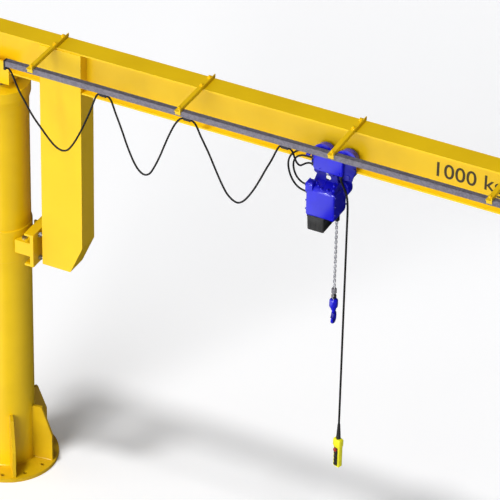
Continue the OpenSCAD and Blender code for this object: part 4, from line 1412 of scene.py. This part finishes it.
@dataclass
class Stage:
    """The camera, the lamps and the floor, in metres."""

    eye: Point = (9.7890, -16.5472, 14.7354)
    right: Point = (0.8934, 0.4488, 0.0187)
    up: Point = (-0.2669, 0.4969, 0.8258)
    back: Point = (0.3613, -0.7428, 0.5637)
    lens: float = 262.79
    white: str = "#fdfdfd"
    paper: str = "#fbfbfc"
    grey: str = "#e2e2e4"  # what the floor throws back onto the crane
    lift: float = 0.13  # how much whiter the floor shows than it is lit
    sheen: float = 1.0  # how bright the floor in front shows in the gloss
    sheen_slope: float = 0.486  # x lost for each metre of y along the sheen's edge
    sheen_edge: Flat = (-0.45, 0.1)  # where along x the sheen starts to fade and ends
    sky: Point = (0.93, 0.95, 1.0)
    soft: float = 0.14  # how strongly the sky lights the crane
    dim: float = 0.04  # how bright the sky shows in the gloss

    def camera(self) -> None:
        """Sets the camera at the viewing angle."""
        data = bpy.data.cameras.new("camera")
        data.lens = self.lens
        data.sensor_width = 36.0
        data.clip_end = 200.0
        made = enter("camera", data)
        turn = Matrix((self.right, self.up, self.back)).transposed().to_4x4()
        made.matrix_world = Matrix.Translation(self.eye) @ turn
        bpy.context.scene.camera = made

    def lamp(self, name: str, aim: Point, strength: float, angle: float) -> None:
        """Adds a soft lamp far away.

        Args:
            name: its name.
            aim: the direction its light travels.
            strength: its strength.
            angle: its apparent size in degrees.
        """
        data = bpy.data.lights.new(name, "SUN")
        data.energy = strength
        data.angle = math.radians(angle)
        enter(name, data).rotation_euler = Vector(aim).to_track_quat("-Z", "Y").to_euler()

    def sheen_strength(self, tree: Tree) -> Socket:
        """How bright each spot of the floor shows in the gloss: only in front of a line."""
        spot = add_node(tree, "TexCoord").outputs["Object"]
        where = add_node(tree, "SeparateXYZ", links={0: spot}).outputs
        line = add_node(
            tree,
            "Math",
            {"operation": "MULTIPLY_ADD", 1: self.sheen_slope},
            {0: where["Y"], 2: where["X"]},
        )
        start, end = self.sheen_edge
        fade = {"From Min": start, "From Max": end, "To Min": self.sheen, "To Max": 0.0}
        near = add_node(tree, "MapRange", {**fade, "clamp": True}, {"Value": line.outputs[0]})
        return near.outputs["Result"]

    def floor(self) -> None:
        """Lays a pale paper floor: it keeps the shadows, shows white, and throws back grey."""
        clear()
        bpy.ops.mesh.primitive_plane_add(size=120, location=(0, 0, -0.001))
        made = bpy.context.object
        made.name = "floor"
        ground = bpy.data.materials.new("floor_paper")
        ground.use_nodes = True
        tree = ground.node_tree
        shader = tree.nodes["Principled BSDF"]
        shader.inputs["Roughness"].default_value = 0.9
        shader.inputs["Specular IOR Level"].default_value = 0.0
        ray = add_node(tree, "LightPath").outputs
        shade = add_node(
            tree,
            "Mix",
            {"data_type": "RGBA", 6: linear(self.grey), 7: linear(self.paper)},
            {0: ray["Is Camera Ray"]},
        )
        tree.links.new(shade.outputs[2], shader.inputs["Base Color"])
        seen = add_node(
            tree,
            "Math",
            {"operation": "MAXIMUM"},
            {0: ray["Is Camera Ray"], 1: ray["Is Transmission Ray"]},
        )
        white = {"Color": linear(self.white)}
        lift = add_node(tree, "Emission", {**white, "Strength": self.lift})
        shine = add_node(tree, "Emission", white, {"Strength": self.sheen_strength(tree)})
        fill = add_node(tree, "MixShader", links={0: seen.outputs[0], 2: lift.outputs[0]})
        lit = add_node(tree, "AddShader", links={0: shader.outputs[0], 1: fill.outputs[0]})
        sides = {0: ray["Is Glossy Ray"], 1: lit.outputs[0], 2: shine.outputs[0]}
        mix = add_node(tree, "MixShader", links=sides)
        tree.links.new(mix.outputs[0], tree.nodes["Material Output"].inputs["Surface"])
        made.data.materials.append(ground)

    def world(self) -> None:
        """Lights the scene from all round and shows white behind it."""
        world = bpy.data.worlds.new("studio")
        bpy.context.scene.world = world
        world.use_nodes = True
        tree = world.node_tree
        shown = tree.nodes["Background"]
        shown.inputs["Color"].default_value = (*self.sky, 1.0)
        shown.inputs["Strength"].default_value = self.soft
        ray = add_node(tree, "LightPath").outputs
        for kind, strength in (("Is Glossy Ray", self.dim), ("Is Camera Ray", 1.0)):
            white = {"Color": linear(self.white), "Strength": strength}
            other = add_node(tree, "Background", white).outputs[0]
            sides = {0: ray[kind], 1: shown.outputs[0], 2: other}
            shown = add_node(tree, "MixShader", links=sides)
        tree.links.new(shown.outputs[0], tree.nodes["World Output"].inputs["Surface"])

    def build(self) -> None:
        """Builds the stage."""
        bpy.context.scene.view_settings.view_transform = "Standard"
        self.camera()
        self.world()
        self.floor()
        self.lamp("front", (0.08, 0.94, -0.34), 2.6, 36.0)
        self.lamp("left", (0.83, 0.45, -0.24), 0.65, 40.0)
        self.lamp("high", (0.115, 0.25, -1.0), 1.35, 6.5)


KEPT = {
    YELLOW: "column track_ring head_cap beam beam_end_plates pivot_housing downleg "
    "carriage_plate roller_forks rail_brackets end_stops",
    # the base plate and gussets take the yellow painted darker as painted shade
    FOOT_SHADED: "base_plate gussets",
    ZINC: "spindle roller_pins carriage_studs wheel_axles suspension_pin",
    HARDENED: "roller_near roller_far",
    STRIP: "festoon_rail",
    NYLON: "rail_clamp carrier_1 carrier_2 tow_carrier cable_glands chain_guide",
    BLUE: "wheel_near_left wheel_near_right wheel_far_left wheel_far_right tow_arm",
    # the yoke takes the blue painted darker as painted shade
    SHADED_BLUE: "hanger_yoke",
}


def main() -> None:
    """Builds the crane's looks in order."""
    logging.basicConfig(level=logging.INFO, format="%(message)s")
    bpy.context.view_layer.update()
    for assembly in (Stage, Cables, Pendant, Pillar, Jib, Trolley, Hoist, ChainAndHook):
        assembly().build()
    for finish, nodes in KEPT.items():
        keep(nodes.split(), finish)


if __name__ == "__main__":
    main()
